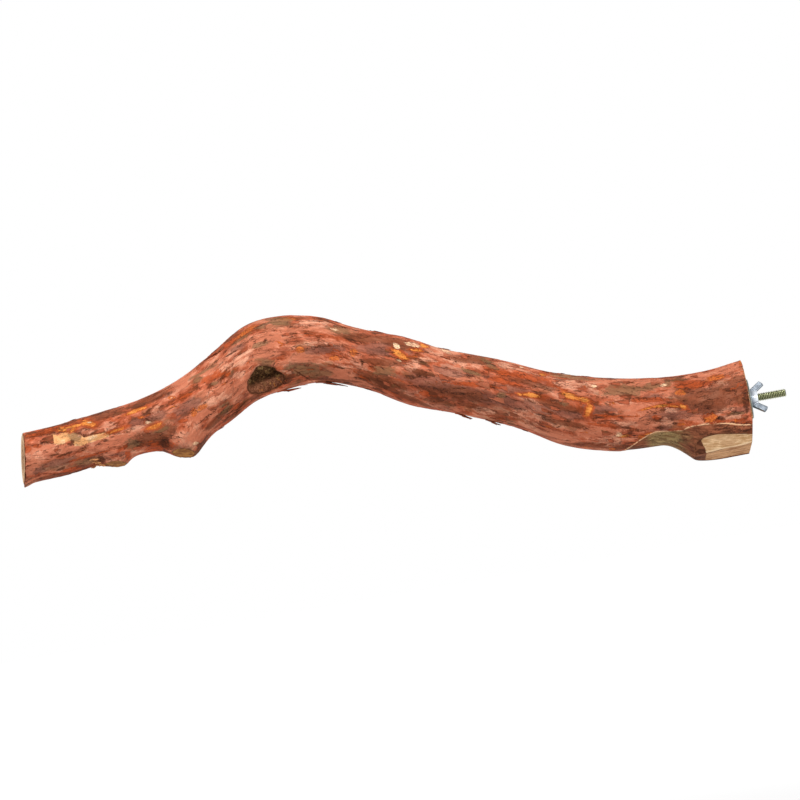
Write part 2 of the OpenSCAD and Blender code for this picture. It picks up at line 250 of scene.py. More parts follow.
def stemRadius(s, a):
    # distance of the bark's outer surface from the middle, and its direction in the plane of Y and Z
    angle = np.radians(a)
    deep = branch["width"] * stationCurve(s, 3) * np.sin(angle)
    high = branch["width"] * stationCurve(s, 2) * np.cos(angle)
    plain = np.hypot(deep, high)
    radius = plain * (1 + sum(f * np.cos(np.radians(n * (a - start - twist * s)))
                              for f, n, start, twist in branch["flutes"]))
    for along, facing, rise, run, half in branch["burls"]:
        radius = radius + branch["width"] * rise * bell((s - along) / run) * bell(wrapped(a - facing) / half)
    for along, facing, lean, height, rise, halfLength in branch["twigs"]:
        reach = bell(branch["length"] * (s - along) / halfLength)
        radius = radius + rise * reach * bell(wrapped(a - facing) / branch["twigHalfAngle"])
    side = branch["sideRise"] * eased(1.5 - branch["length"] * s / branch["sideRun"])
    radius = radius + side * bell(wrapped(a - branch["sideAngle"]) / branch["sideHalfAngle"])
    return radius, np.stack([-deep / plain, high / plain], -1)


def placed(s, a, radius):
    # the point at that distance from the middle; near the free end the rings skew into the slanting saw cut
    direction = stemRadius(s, a)[1]
    skew = eased((s - 1) / branch["endSkewShare"] + 1)
    lean, turn = (math.tan(math.radians(branch[angle])) for angle in ("endLean", "endTurn"))
    back = skew * radius * (direction[..., 1] * lean - direction[..., 0] * turn)
    offset = np.stack([back, radius * direction[..., 0], radius * direction[..., 1]], -1)
    return behindToe(stemLine(s) + offset)


def behindToe(points):
    # the saw cut's lower part leans back: nothing reaches past it
    below = np.maximum(0, -points[..., 2] - branch["toeStart"])
    cut = branch["sawFace"] - below * math.tan(math.radians(branch["toeLean"]))
    points[..., 0] = np.minimum(points[..., 0], cut)
    return points


def facingDirection(angle):
    # the unit vector in Y and Z that faces an angle from the top towards the front
    return np.array([-math.sin(math.radians(angle)), math.cos(math.radians(angle))])


def grainPlace(s, a):
    # the branch straightened out: millimetres along it, and its round section
    steps = np.linspace(0, 1, 400)
    walk = np.concatenate([[0], np.cumsum(np.linalg.norm(np.diff(stemLine(steps), axis=0), axis=1))])
    high, deep = branch["width"] * stationCurve(s, 2), branch["width"] * stationCurve(s, 3)
    radius = np.hypot(high, deep) / math.sqrt(2)
    angle = np.radians(a)
    return np.stack([np.interp(s, steps, walk), radius * np.sin(angle), radius * np.cos(angle)], -1)


# What the saw and the knife left: how far out the wood may reach

def flatCut(s, a, facing, lean, origin, leastSlope, near):
    # distance from the middle to a flat cut through origin, along the ring's own direction, where it is near
    direction = stemRadius(s, a)[1]
    tilt = math.radians(lean)
    normal = np.concatenate([[math.sin(tilt)], facingDirection(facing) * math.cos(tilt)])
    slope = direction @ normal[1:]
    reach = ((origin - stemLine(s)) @ normal) / np.maximum(slope, leastSlope)
    return np.where((slope > leastSlope) & near, reach, branch["farOut"])


def sliceRadius(s, a):
    # distance to each slice through the side branch
    near = s * branch["length"] < 2 * branch["sideRun"]
    return [flatCut(s, a, facing, lean, np.concatenate([[0], facingDirection(facing) * distance]),
                    leastSlope=0.05, near=near)
            for facing, lean, distance in branch["slices"]]


def twigRadius(s, a):
    # distance to each twig's saw cut
    found = []
    for along, facing, lean, height, rise, halfLength in branch["twigs"]:
        at, turn = np.array(along), np.array(facing)
        origin = placed(at, turn, stemRadius(at, turn)[0] + height - rise)
        near = np.abs(s - along) * branch["length"] < 1.6 * halfLength
        found.append(flatCut(s, a, facing, lean, origin, leastSlope=0.2, near=near))
    return found


# The knothole, in its own flat frame: u along the branch towards the bolt, v around it towards the underside
hollow = {
    "along": 0.652,
    "angle": 129,
    "halfLength": 14.2,
    "halfHeight": 12.6,
    "lensPower": 1.65,
    "depth": 11.0,
    "shelfDepth": 3.4,
    "shelfLine": 2.2,
    "shelfSlope": -0.10,
    "wallShare": 0.22,         # share of the reach that the wall takes, and how far it is drawn in
    "drawnShare": 0.10,
    "lowest": -20,             # points further below the mouth lie on the stem's other side
    "otherSide": 10,           # the reach given to them
    "pocketEdge": 3.0,         # millimetres over which the floor drops from the shelf
    "shelfAtWall": 0.35,       # share of the shelf's depth beside the wall, and how far in it is whole
    "shelfWhole": 0.5,
    "roughness": (0.5, 3.5),   # height and length of the floor's unevenness
    # height, count round the rim and start of the rim's waves
    "waves": [(0.05, 3, 0.6), (0.03, 7, 2.0), (0.02, 13, 0.0)],
}


def hollowFrame():
    # the middle of the mouth, and the directions of u, v and outwards
    at, turn = np.array(hollow["along"]), np.array(hollow["angle"])
    origin = placed(at, turn, stemRadius(at, turn)[0])
    outward = np.concatenate([[0], facingDirection(hollow["angle"])])
    around = np.concatenate([[0], facingDirection(hollow["angle"] + 90)])
    return origin, np.array([1.0, 0, 0]), around, outward


def hollowPlace(points):
    # u, v and height of each point over the knothole's mouth
    origin, along, around, outward = hollowFrame()
    offset = points - origin
    return offset @ along, offset @ around, offset @ outward


def hollowReach(u, v, height):
    # 0 in the middle, 1 on the knothole's uneven lens-shaped rim
    power = hollow["lensPower"]
    across, around = u / hollow["halfLength"], v / hollow["halfHeight"]
    lens = (np.abs(across) ** power + np.abs(around) ** power) ** (1 / power)
    turn = np.arctan2(around, across)
    uneven = sum(rise * np.sin(count * turn + start) for rise, count, start in hollow["waves"])
    return np.where(height > hollow["lowest"], lens / (1 + uneven), hollow["otherSide"])


# The camera stands where the photograph was taken, and the marks on the bark are placed by its pixels
camera = {
    "pixel": 0.7545,           # millimetres at the bolt
    "roll": 10,                # degrees, clockwise in the picture
    "turn": 1.5,               # degrees that the camera stands round towards the bolt
    "boltPixel": (749.1, 399),
    "frameSize": 800,
    "distance": 3350,
    "sensor": 36,
    "farthest": 30,            # metres that it sees
}


def cameraAxes():
    # the picture's right, its top, and the way that the camera looks
    turn, roll = math.radians(camera["turn"]), math.radians(camera["roll"])
    side = np.array([math.cos(turn), math.sin(turn), 0])
    away = np.array([-math.sin(turn), math.cos(turn), 0])
    up = np.array([0, 0, 1.0])
    return math.cos(roll) * side - math.sin(roll) * up, math.sin(roll) * side + math.cos(roll) * up, away


def pictureCentre():
    # the point level with the bolt's axis that the picture's middle shows
    right, top, away = cameraAxes()
    half = camera["frameSize"] / 2
    return camera["pixel"] * ((half - camera["boltPixel"][0]) * right - (half - camera["boltPixel"][1]) * top)


def pixelOf(points):
    # pixel across and down at which the camera sees each point
    right, top, away = cameraAxes()
    offset = points - pictureCentre()
    scale = camera["distance"] / (camera["distance"] + offset @ away) / camera["pixel"]
    half = camera["frameSize"] / 2
    return half + (offset @ right) * scale, half - (offset @ top) * scale


def stemLineAt(x):
    # the middle of the stem at a place along X
    return stemLine(np.clip((branch["sawFace"] - x) / branch["length"], 0, 1))


def facesCamera(points, past):
    # how far each point lies in front of the stem's middle, plus past, in millimetres
    return stemLineAt(points[..., 0])[..., 1] + past - points[..., 1]


# Under a lip of bark by the clamped end the outer bark is torn off: the lip's line by its pixels
tornLook = {
    "linePixels": [
        (622, 453), (630, 448), (640, 441), (648, 436), (656, 432.5), (670, 431.5), (682, 431), (690, 427.5),
        (700, 425.6), (710, 424.4), (720, 424), (730, 424.4), (740, 425.6), (754, 425.2),
    ],
    "depth": -0.72,
    "edge": 1.2,               # width of the step down at the lip
    "limits": (-4, 30),
    "startRun": 3,             # how much slower it grows from the line's left end than down from the lip
    "pastMiddle": 6,           # millimetres past the stem's middle that it reaches to the back
    "sideRun": 2,              # how much slower it grows from there
}


def tornField(points):
    # millimetres below the lip's line, negative above it, left of its start and behind the branch
    pixels = np.array(tornLook["linePixels"])
    across, down = pixelOf(points)
    below = (down - np.interp(across, pixels[:, 0], pixels[:, 1])) * camera["pixel"]
    started = (across - pixels[0, 0]) * camera["pixel"] / tornLook["startRun"]
    inFront = facesCamera(points, tornLook["pastMiddle"]) / tornLook["sideRun"]
    return np.clip(np.minimum.reduce([below, started, inFront]), *tornLook["limits"])


# The bark
barkLook = {
    "rows": 512,
    "columns": 152,
    "blockCells": 8,               # cells along one block of the coarse inner face
    "layerStep": 0.26,
    "layers": 3,
    "stepShare": 0.3,              # share of a layer's tread that its steep edge takes
    "layersLeft": (1.55, 1.25),    # middle and spread of how many are left
    "plateLength": 30,
    "plateWidth": 8.5,
    "warp": 1.6,
    "warpLength": 5.0,
    # height, length and width
    "ridges": (0.22, 40, 6.5),
    "grit": (0.07, 4.5, 1.9),
    "reliefLimits": (-0.95, 0.12),
    # the knothole's raised rim: height, distance from the edge and half width
    "lip": (0.9, 2.2, 2.4),
    "rimFade": 3,
    "rimRound": 1.8,
    "raggedEnd": 1.3,
    "gone": -0.02,                 # further than this inside an opening there is no bark
    # how many cells a point may move onto an opening's edge, at first and once the cells there are gone
    "snapCells": 0.55,
    "pullCells": 1.2,
    "thinEdge": 0.25,
    # at the free end's lower corner the bark flares out: where it starts, its angle, half angle and lift
    "flare": (0.974, 168, 34, 3.2),
}


def stretchedNoise(grain, look, salt):
    # noise drawn out along the branch: its height, length and width come from one row of the dictionary
    height, length, width = look
    return height * softNoise(grain / np.array([length, width, width]), salt)


def peelField(grain):
    # how many layers of outer bark are left, before rounding: stretched noise whose own place is warped
    shift = np.stack([softNoise(grain / barkLook["warpLength"], 100 + axis) for axis in range(3)], -1)
    stretched = (grain + barkLook["warp"] * shift) / np.array(
        [barkLook["plateLength"], barkLook["plateWidth"], barkLook["plateWidth"]])
    middle, spread = barkLook["layersLeft"]
    return middle + spread * fractal(stretched, 4, 40)


def terraces(field):
    # flat treads with steep edges between the layers
    whole = np.floor(field)
    return np.clip(whole + eased((field - whole) / barkLook["stepShare"]), 0, barkLook["layers"])


def barkRelief(grain, peel):
    # millimetres above or below the plain surface: stepped layers, low ridges and grit
    steps = (terraces(peel) - barkLook["layers"]) * barkLook["layerStep"]
    ridges = stretchedNoise(grain, barkLook["ridges"], 7)
    grit = stretchedNoise(grain, barkLook["grit"], 9)
    return np.clip(steps + ridges + grit, *barkLook["reliefLimits"])


def innerRadius(radius):
    # the bark's inner surface lies its thickness under the outer one, and just clear of the wood
    return radius - branch["barkThickness"] + branch["barkGap"]


def openingEdge(s, a):
    # millimetres from the edge of the nearest opening in the bark, negative inside it, the same for the
    # knothole alone, and how far out the cuts leave the wood
    radius = stemRadius(s, a)[0]
    rim = (hollowReach(*hollowPlace(placed(s, a, radius))) - 1) * hollow["halfHeight"]
    cut = np.minimum.reduce([*sliceRadius(s, a), *twigRadius(s, a)])
    return np.minimum(cut - innerRadius(radius), rim), rim, cut


def barkSurface(s, a):
    # outer and inner distance from the middle: the relief fades and the surface rounds over at the knothole's
    # rim, and the cuts trim it flat
    radius = stemRadius(s, a)[0]
    rim, cut = openingEdge(s, a)[1:]
    grain = grainPlace(s, a)
    peel = peelField(grain)
    torn = tornField(placed(s, a, radius))
    inner = innerRadius(radius)
    lipHeight, lipPlace, lipHalf = barkLook["lip"]
    relief = barkRelief(grain, peel)
    relief = relief + eased(torn / tornLook["edge"]) * (tornLook["depth"] + 0.2 * relief - relief)
    outer = radius + relief * eased(rim / barkLook["rimFade"]) + lipHeight * bell((rim - lipPlace) / lipHalf)
    start, facing, half, lift = barkLook["flare"]
    flared = np.clip((s - start) / (1 - start), 0, 1) ** 2 * bell(wrapped(a - facing) / half) ** 2
    outer = outer + lift * flared
    rounded = np.sqrt(np.clip(1 - (1 - np.clip(rim / barkLook["rimRound"], 0, 1)) ** 2, 0, 1))
    outer = inner + (outer - inner) * rounded
    outer = np.minimum(outer, np.maximum(cut, inner))
    return outer, inner, grain, peel, torn


def snapToEdge(s, a, valueAt, allowed, limit):
    # allowed points within limit cells of the line where the value is zero step onto it, down its slope
    cellS, cellA = 1 / barkLook["rows"], 360 / barkLook["columns"]
    value = valueAt(s, a)
    slopeS = (valueAt(s + cellS / 4, a) - valueAt(s - cellS / 4, a)) * 2
    slopeA = (valueAt(s, a + cellA / 4) - valueAt(s, a - cellA / 4)) * 2
    steep = slopeS ** 2 + slopeA ** 2 + 1e-9
    moveS, moveA = -value * slopeS / steep, -value * slopeA / steep
    near = allowed & (np.hypot(moveS, moveA) < limit)
    return np.where(near, s + moveS * cellS, s), np.where(near, a + moveA * cellA, a)


def barkGrid():
    # the grid's s and a with ragged ends, its cells' corners, the cells that stay, how many of these each
    # point has, and the points on the openings' edges
    rows, columns = barkLook["rows"], barkLook["columns"]
    i, j = np.meshgrid(np.arange(rows + 1) / rows, np.arange(columns) * 360 / columns, indexing="ij")
    ragged = [fractal(grainPlace(end + 0 * i, j) / 5, 3, salt) for end, salt in ((0, 61), (1, 62))]
    first, stop = (barkLook["raggedEnd"] * (0.5 + 0.5 * edge) / branch["length"] for edge in ragged)
    s, a = first + (1 - stop - first) * i, j
    insideRows = np.zeros(s.shape, bool)
    insideRows[1:-1] = True
    corners = gridFaces(rows + 1, columns)

    def edgeAt(s, a):
        return openingEdge(np.clip(s, 0, 1), a)[0]

    s, a = snapToEdge(s, a, edgeAt, insideRows, barkLook["snapCells"])
    kept = (edgeAt(s, a) >= barkLook["gone"]).ravel()[corners].all(1)
    uses = np.zeros(s.size, int)
    np.add.at(uses, corners[kept].ravel(), 1)
    uses = uses.reshape(s.shape)
    rimPoints = (uses > 0) & (uses < 4) & insideRows
    for _ in range(2):
        s, a = snapToEdge(s, a, edgeAt, rimPoints, barkLook["pullCells"])
    return s, a, corners, kept, uses, rimPoints


def innerFaces(corners, cells, shared, innerNumber):
    # the face towards the wood is coarse: whole blocks of cells become fans, and cells near an opening stay
    rows, columns, block = (barkLook[size] for size in ("rows", "columns", "blockCells"))

    def blocksOf(grid):
        return grid.reshape(rows // block, block, columns // block, block)

    nearEdge = blocksOf(shared.reshape(rows + 1, columns)[:-1]).any((1, 3))
    plain = blocksOf(cells).all((1, 3)) & ~nearEdge
    steps, zeros = np.arange(block), np.zeros(block, int)
    around = np.concatenate([
        np.stack([zeros, steps], -1),
        np.stack([steps, zeros + block], -1),
        np.stack([zeros + block, block - steps], -1),
        np.stack([block - steps, zeros], -1),
    ])
    blockI, blockJ = np.nonzero(plain)
    ringI = blockI[:, None] * block + around[:, 0]
    ringJ = (blockJ[:, None] * block + around[:, 1]) % columns
    ring = innerNumber[ringI * columns + ringJ]
    centre = innerNumber[(blockI * block + block // 2) * columns + blockJ * block + block // 2]
    fans = np.stack([ring, np.roll(ring, -1, axis=1), np.repeat(centre[:, None], 4 * block, 1)], -1)
    inPlain = np.repeat(np.repeat(plain, block, 0), block, 1)
    return [fans.reshape(-1, 3), innerNumber[corners[(cells & ~inPlain).ravel()]]]


def endBands(cells, innerNumber):
    # the rims at both ends, from the outer to the inner ring; next to an opening a cell is a triangle
    rows, columns = cells.shape
    faces = []
    for row, flip in ((0, False), (rows, True)):
        ring = row * columns + np.arange(columns)
        band = np.stack([ring, np.roll(ring, -1), innerNumber[np.roll(ring, -1)], innerNumber[ring]], -1)
        band = band[cells[min(row, rows - 1)]]
        first, second = band[:, 0] == band[:, 3], band[:, 1] == band[:, 2]
        parts = [band[~(first | second)], band[first & ~second][:, :3], band[second & ~first][:, [0, 1, 3]]]
        faces += [turnedOver(part) if flip else part for part in parts]
    return faces


def makeBark():
    # the outer surface over the grid and the inner one under it, which share their points at every edge
    s, a, corners, kept, uses, rimPoints = barkGrid()
    outer, inner, grain, peel, torn = barkSurface(s, a)
    outside = placed(s, a, outer).reshape(-1, 3)
    within = placed(s, a, inner).reshape(-1, 3)
    atEnds = np.zeros(s.shape, bool)
    atEnds[[0, -1]] = uses[[0, -1]] == 1
    shared = (rimPoints | atEnds).ravel()
    outside[shared] = within[shared]
    innerNumber = np.where(shared, np.arange(s.size), np.arange(s.size) + s.size)
    cells = kept.reshape(barkLook["rows"], barkLook["columns"])
    faces = [turnedOver(corners[kept]), *innerFaces(corners, cells, shared, innerNumber),
             *endBands(cells, innerNumber)]
    faces, points, used = dropUnused(faces, np.concatenate([outside, within]))
    surface = {"grain": grain.reshape(-1, 3), "peel": peel.ravel(), "torn": torn.ravel()}
    fields = {label: np.concatenate([values, values])[used] for label, values in surface.items()}
    thin = np.clip(1 - (outer - inner) / barkLook["thinEdge"], 0, 1).ravel()
    fields["cutEdge"] = np.concatenate([thin, thin * 0])[used]
    fields.update(patchFields(points))
    return makePiece("barkSkin", points, faces, fields)


def dropUnused(faces, points):
    # leaves out points that no face uses
    used = np.zeros(len(points), bool)
    for f in faces:
        used[f.ravel()] = True
    number = np.cumsum(used) - 1
    return [number[f] for f in faces], points[used], used


markLook = {
    "backShift": 34,               # millimetres that the marks of the back are moved along
    "pastMiddle": 4,               # millimetres past the stem's middle that the front's marks reach
    "lowest": -3.0,                # where a mark's value stops falling
}

# Marks on the bark that the photograph shows: pixel across and down, half length and half width in pixels,
# and a tilt up to the right in degrees
marks = {
    "fresh": [
        (90, 424, 8, 3.2, -5), (70, 429, 6.5, 3, 12), (76.5, 425.6, 5, 1.6, 10), (61, 429, 4, 2, 15),
        (135, 411, 13, 1.6, 22), (117, 430, 10, 1.4, 20), (154, 427, 8, 2.6, 20),
        (399.4, 354.7, 9, 2.8, -30), (416, 350, 5, 1.5, -10), (423.7, 345.7, 4, 1.6, -10),
        (260.4, 392.3, 3, 1.2, 0), (531.8, 395.5, 13, 2.1, -6), (570, 395.5, 9, 3, -22),
        (584, 399.6, 7, 2.6, -17), (588.6, 411, 7, 3.2, 72), (542, 374.2, 4, 1.2, -8),
        (625, 435.7, 5, 1.4, 5), (661, 406, 8, 1.3, 8), (673, 406, 6, 1.4, -6), (683, 406.6, 5, 2, -24),
        (648, 408.3, 8, 0.9, 14), (649, 434, 5, 1.4, 12), (740.2, 362.5, 1, 3, 0),
    ],
    "ember": [
        (172, 397.7, 4, 1.8, 0), (202, 406.8, 5, 2.8, 20), (194, 412.5, 2.6, 4.4, 0),
        (246, 332, 12, 2, 35), (300, 349.6, 4.4, 3, 0), (353.5, 352.8, 4, 3.4, 10),
        (334.4, 358, 5, 2.4, 0), (288, 319, 9, 1.6, 0), (612, 449, 3.4, 1.2, 0), (638, 444, 6, 3, 15),
        (715, 378, 9, 2.6, 12), (680.7, 392.2, 5, 2.6, 0), (711, 418.5, 7, 3.2, 10),
        (642, 437.5, 4, 3, 0), (708, 448, 4, 2, 0),
    ],
    "peach": [
        (56, 439.5, 10, 4.8, -10), (66, 436.6, 11, 5, 12), (78, 438.6, 8, 5, -35),
        (92, 438.6, 20, 3.2, 15), (80, 442.4, 8, 3.4, 8), (662, 434.3, 9, 1.4, 12),
    ],
    "chip": [
        (412.2, 344.5, 7.5, 2.2, -13), (396.3, 345.7, 3.4, 2.6, -30), (445, 350.8, 6, 1.7, -25),
        (521, 367.2, 2.4, 0.9, -15), (619.2, 434.4, 4, 1.8, 5), (663.9, 385.1, 3.6, 1.5, 26),
        (148.2, 422.2, 3.6, 1.5, 10), (172, 397.7, 1.6, 0.6, 0), (195.5, 443.4, 3.6, 1.8, 14),
        (399, 360.5, 2.4, 1.2, -20), (594, 386.5, 3, 2, 10), (334, 329.4, 5, 1.2, -12),
        (90, 422.5, 3, 0.9, 0), (659, 434.6, 5, 0.7, 18),
    ],
    "pale": [
        (242, 357.9, 12, 4, 25), (229.8, 365, 9, 4, 25), (238, 375, 6, 3, 25), (219.6, 398.7, 9, 4.2, 25),
        (411.6, 364.9, 7, 4.6, 20), (503.8, 365.5, 8, 2.6, -28), (571, 384.6, 15, 4, 0),
        (594.3, 387.4, 5, 4, 0), (529, 416.5, 14, 5, -20), (609.6, 440.8, 9, 4.4, 0), (626, 424, 8, 2, 5),
        (484.6, 411.4, 8, 3, -14), (666.3, 421, 7, 3.6, -25), (672, 410, 7, 2.4, 0), (106, 426, 8, 4, 10),
        (138.7, 427, 5, 2.4, 0), (155, 410, 6, 3, 20), (85, 432, 8, 3.4, 5), (733, 417, 12, 2, 3),
        # the mark at 314 across is a painted highlight on the top of the arch
        (320, 344, 12, 2.4, 0), (314, 323.5, 15, 3, -3), (430, 360, 8, 2, -10), (288, 372, 5, 1.6, -10),
        (345, 366, 9, 1.6, -8), (620, 402, 9, 1.8, -4),
    ],
    "salmon": [
        (267.6, 340.5, 24, 9, 14), (266, 353.8, 16, 4, 0), (247, 385, 9, 14, 60),
        (730, 367.5, 15, 6.5, 18), (700, 375.6, 18, 2.6, 6), (183, 381, 15, 6, 32), (201, 415, 14, 6, 20),
        (197, 436.4, 12, 6, 20), (672, 393, 14, 3.4, 0), (120, 440, 24, 6, 10), (60, 450, 24, 4, 8),
        (330, 330, 26, 4, -6), (350, 380, 24, 4, -12), (560, 437, 18, 5, -18), (640, 392, 10, 2.6, 0),
        (305, 357, 12, 5, 10), (460, 379, 16, 2, 0), (290, 330, 16, 4, 8), (205, 372, 10, 2.6, 28),
        (643, 414, 22, 7, 4), (612, 392, 16, 5, 6), (598, 432, 22, 6, 0), (690, 414, 14, 5, -4),
        (105, 444, 18, 6, 10), (45, 450, 16, 5, 8), (32, 466, 8, 8, 90), (224, 388, 8, 12, 60),
        (655, 384, 16, 4, 2), (640, 425, 20, 5, 0), (630, 406, 20, 6, 0), (625, 380, 14, 3, 0),
        (575, 394, 16, 5, -10), (335, 372, 20, 4, -4), (742, 376, 6, 10, 90), (600, 382, 14, 3, -2),
        (632, 384, 14, 3, 2), (330, 342, 16, 3, -6), (216, 412, 12, 3, 40), (716, 372, 24, 6, 13),
        (238, 388, 9, 6, 60),
    ],
    "rust": [
        (46, 431.8, 15, 2.6, 15), (36.3, 446, 5, 2, 0), (26, 449, 3, 5, 90), (87, 456.7, 20, 1.2, 16),
        (72, 469, 9, 1.6, 14), (104, 430.4, 9, 1, 10), (128, 455.7, 2.6, 3.6, 0),
        (229, 344.6, 9, 2.2, 40), (250, 331, 13, 2.6, 34), (220.6, 372, 6, 3.6, 20),
        (226.7, 375.2, 4, 1.5, 30), (210.4, 378.3, 9, 2.6, 20), (184, 396.6, 7, 1.8, 20),
        (182, 421, 5, 1.6, 10), (234, 406.8, 6, 2, 30), (695.8, 384.3, 17, 3.6, 4),
        (716, 377.6, 9, 2.8, 10), (710.2, 417.8, 7, 3.6, 0), (658, 417.8, 5, 2.4, 0),
        (642.4, 437, 4, 3, 0), (746, 423, 5, 1, 0), (425, 394, 5, 2.4, -10), (611, 416, 23, 1.1, -2),
        (520, 375, 30, 3.4, -12), (560, 388, 10, 1.2, -20), (600, 425, 14, 1.4, -8),
        (640, 400, 9, 1.6, 5), (390, 400, 20, 2.6, -22), (475, 385, 24, 1.8, -6), (655, 400, 14, 2, 4),
        (160, 446, 13, 4, 5), (505, 382, 16, 2.4, -14),
    ],
    "moss": [
        (73.4, 436.2, 7, 4.2, -42), (87, 461.5, 14, 3, 14), (133, 444.2, 6, 4.6, 10),
        (279.8, 321, 12, 3.4, -2), (242, 338.5, 13, 1.5, 33), (260.4, 327, 5.6, 1.8, 20),
        (261.4, 344.6, 8, 2, 15), (205, 371, 14, 0.9, 28), (197, 380.3, 4, 2.6, 30),
        (214.5, 383.4, 5, 1.6, 15), (225.7, 406.8, 6, 4.6, 30), (160.4, 429.3, 7, 2.4, 15),
        (265.5, 361.7, 8, 2.8, 0), (311, 370.6, 20, 5, -4), (383, 370.6, 12, 3.6, -6),
        (259, 345.7, 6, 1.8, 12), (491, 365, 8, 2.4, -30), (574, 376.6, 20, 3, -6),
        (626, 389.7, 20, 4.6, 2), (501, 394.8, 4, 2.2, 0), (564.4, 403.8, 5, 2.2, -10),
        (667, 384, 3, 3.6, 0), (649.6, 386.7, 9, 2.6, 4), (668, 438.5, 19, 4.6, 3),
        (735, 413.5, 8, 1.6, 4), (338, 329.5, 11, 2.6, -14), (470, 372, 8, 2, -12),
    ],
    "mauve": [
        (189, 405.8, 16, 4.6, 28), (136.7, 423, 7, 4, 10), (156, 416, 10, 4, 20), (39, 471, 6, 2.6, 10),
        (238, 347.7, 8, 2.4, 20), (656, 397, 8, 2.4, 0), (664.7, 428, 6, 2.8, 0), (742, 410, 9, 2.8, 5),
        (505, 402, 42, 5, -11), (555, 412, 30, 5, -12), (325, 350, 16, 4, 4), (378, 350, 20, 5, -6),
        (450, 372, 16, 3.4, -12), (600, 408, 18, 2.6, -4), (440, 385, 40, 6, -12), (520, 392, 26, 4, -12),
        (690, 410, 26, 6, 2), (668, 416, 18, 4, 4), (392, 348, 22, 4, -10), (60, 462, 16, 3, 12),
        (120, 454, 9, 1.6, 12),
    ],
    "brown": [
        (101.3, 413.5, 18, 6, 16), (42, 433, 12, 2.2, 12), (150, 400, 20, 3, 24),
        # the marks at 152 and 166 across are dark brown bark and painted shade over a shadowed patch
        (392, 340, 20, 2.4, -10), (152, 439, 18, 7, 10), (166, 432, 10, 8, 30), (218, 419, 13, 2.6, 42),
        (200, 446.6, 2.4, 5, 30), (723.7, 394, 20, 8.6, 0), (62, 474.6, 24, 1.8, 12),
        (700, 441, 16, 9, -16), (462, 393, 20, 2.2, -3), (530, 383, 22, 2.6, -14), (560, 421, 26, 3, -14),
        (405, 396, 22, 2, -24), (610, 446, 30, 2.4, -3), (330, 380, 26, 1.4, -4), (480, 408, 20, 2, -14),
        (440, 402, 16, 2.4, -10), (290, 318, 16, 0.8, 0), (420, 337, 26, 0.8, -12),
        (540, 362, 24, 0.9, -14), (250, 400, 18, 2, 32), (705, 399, 30, 12, 0), (710, 402, 26, 9, 4),
        (738, 386, 10, 10, 0), (690, 390, 14, 5, 0), (400, 345, 26, 3, -14), (380, 362, 20, 3, -6),
        (560, 406, 24, 4, -12), (385, 380, 26, 4, -16), (455, 392, 30, 5, -10), (360, 338, 20, 4, -6),
        (470, 360, 22, 3, -10), (575, 400, 10, 1.6, -8), (420, 372, 12, 2, -14), (500, 372, 12, 1.6, -10),
    ],
    # cracks and dark bark; the marks at 101.5 and 165.5 across also paint shade, in the crevice near the free
    # end and in a shadowed patch
    "dark": [
        (53, 455, 6, 1, 8), (29, 465.8, 4, 0.8, 20), (60.2, 469, 5, 1.3, 20), (40.6, 478.5, 1.6, 0.9, 0),
        (101.5, 459, 3.6, 5.4, 20), (84.3, 435.6, 1.3, 1.6, 0), (147.3, 419.4, 3, 0.9, -30),
        (165.5, 442.6, 6, 6, 30), (183.9, 407.3, 0.7, 2.8, 0), (229.8, 354.3, 10, 0.8, 30),
        (746, 399.4, 3, 11, 4), (669.5, 402.6, 3.2, 1.2, 10), (735, 423, 5, 1.2, 0),
        (721.3, 418.6, 4, 2, 0), (675, 423.4, 3, 1.3, 0), (655, 413, 3, 1.1, 0),
        (409.6, 377, 7, 2.4, -10), (418.6, 376, 3, 2, 0), (362.4, 363, 1.2, 3, 0),
        (336, 366.6, 9, 0.8, -16), (303, 375.6, 10, 0.8, -32), (490, 404.6, 8, 0.8, -12),
        (459, 393.6, 9, 1.2, -4), (456, 388.5, 18, 0.7, 2), (611, 416, 12, 0.6, -2),
        (612, 378, 9, 0.8, -5), (681, 376.8, 4, 0.8, 4), (688, 389, 3.4, 1.4, -20),
        (558, 427, 6, 0.7, 20), (265, 340.5, 3, 1.1, 60), (345, 383, 10, 0.8, 0), (628, 428, 8, 1, -6),
        (540, 399, 20, 0.5, -8), (700, 392, 5, 1, 20), (730, 390, 6, 2, 0), (660, 428, 5, 1.6, 0),
    ],
}


def patchFields(points):
    # for each kind of mark: 1 in the middle of a mark, 0 at its edge, falling on past it. The back has the
    # front's marks too, upside down and moved along
    behind = facesCamera(points, markLook["pastMiddle"]) < 0
    across, down = pixelOf(points)
    middle = pixelOf(stemLineAt(points[:, 0]))
    other = pixelOf(stemLineAt(points[:, 0] + markLook["backShift"]))
    across = np.where(behind, across + other[0] - middle[0], across)
    down = np.where(behind, other[1] + middle[1] - down, down)
    fields = {}
    for kind, rows in marks.items():
        best = np.full(len(points), markLook["lowest"])
        for pixelX, pixelY, halfLength, halfWidth, tilt in rows:
            slope = math.radians(tilt)
            right, up = across - pixelX, pixelY - down
            along = right * math.cos(slope) + up * math.sin(slope)
            aside = up * math.cos(slope) - right * math.sin(slope)
            best = np.maximum(best, 1 - np.hypot(along / halfLength, aside / halfWidth))
        fields[kind] = best
    return fields


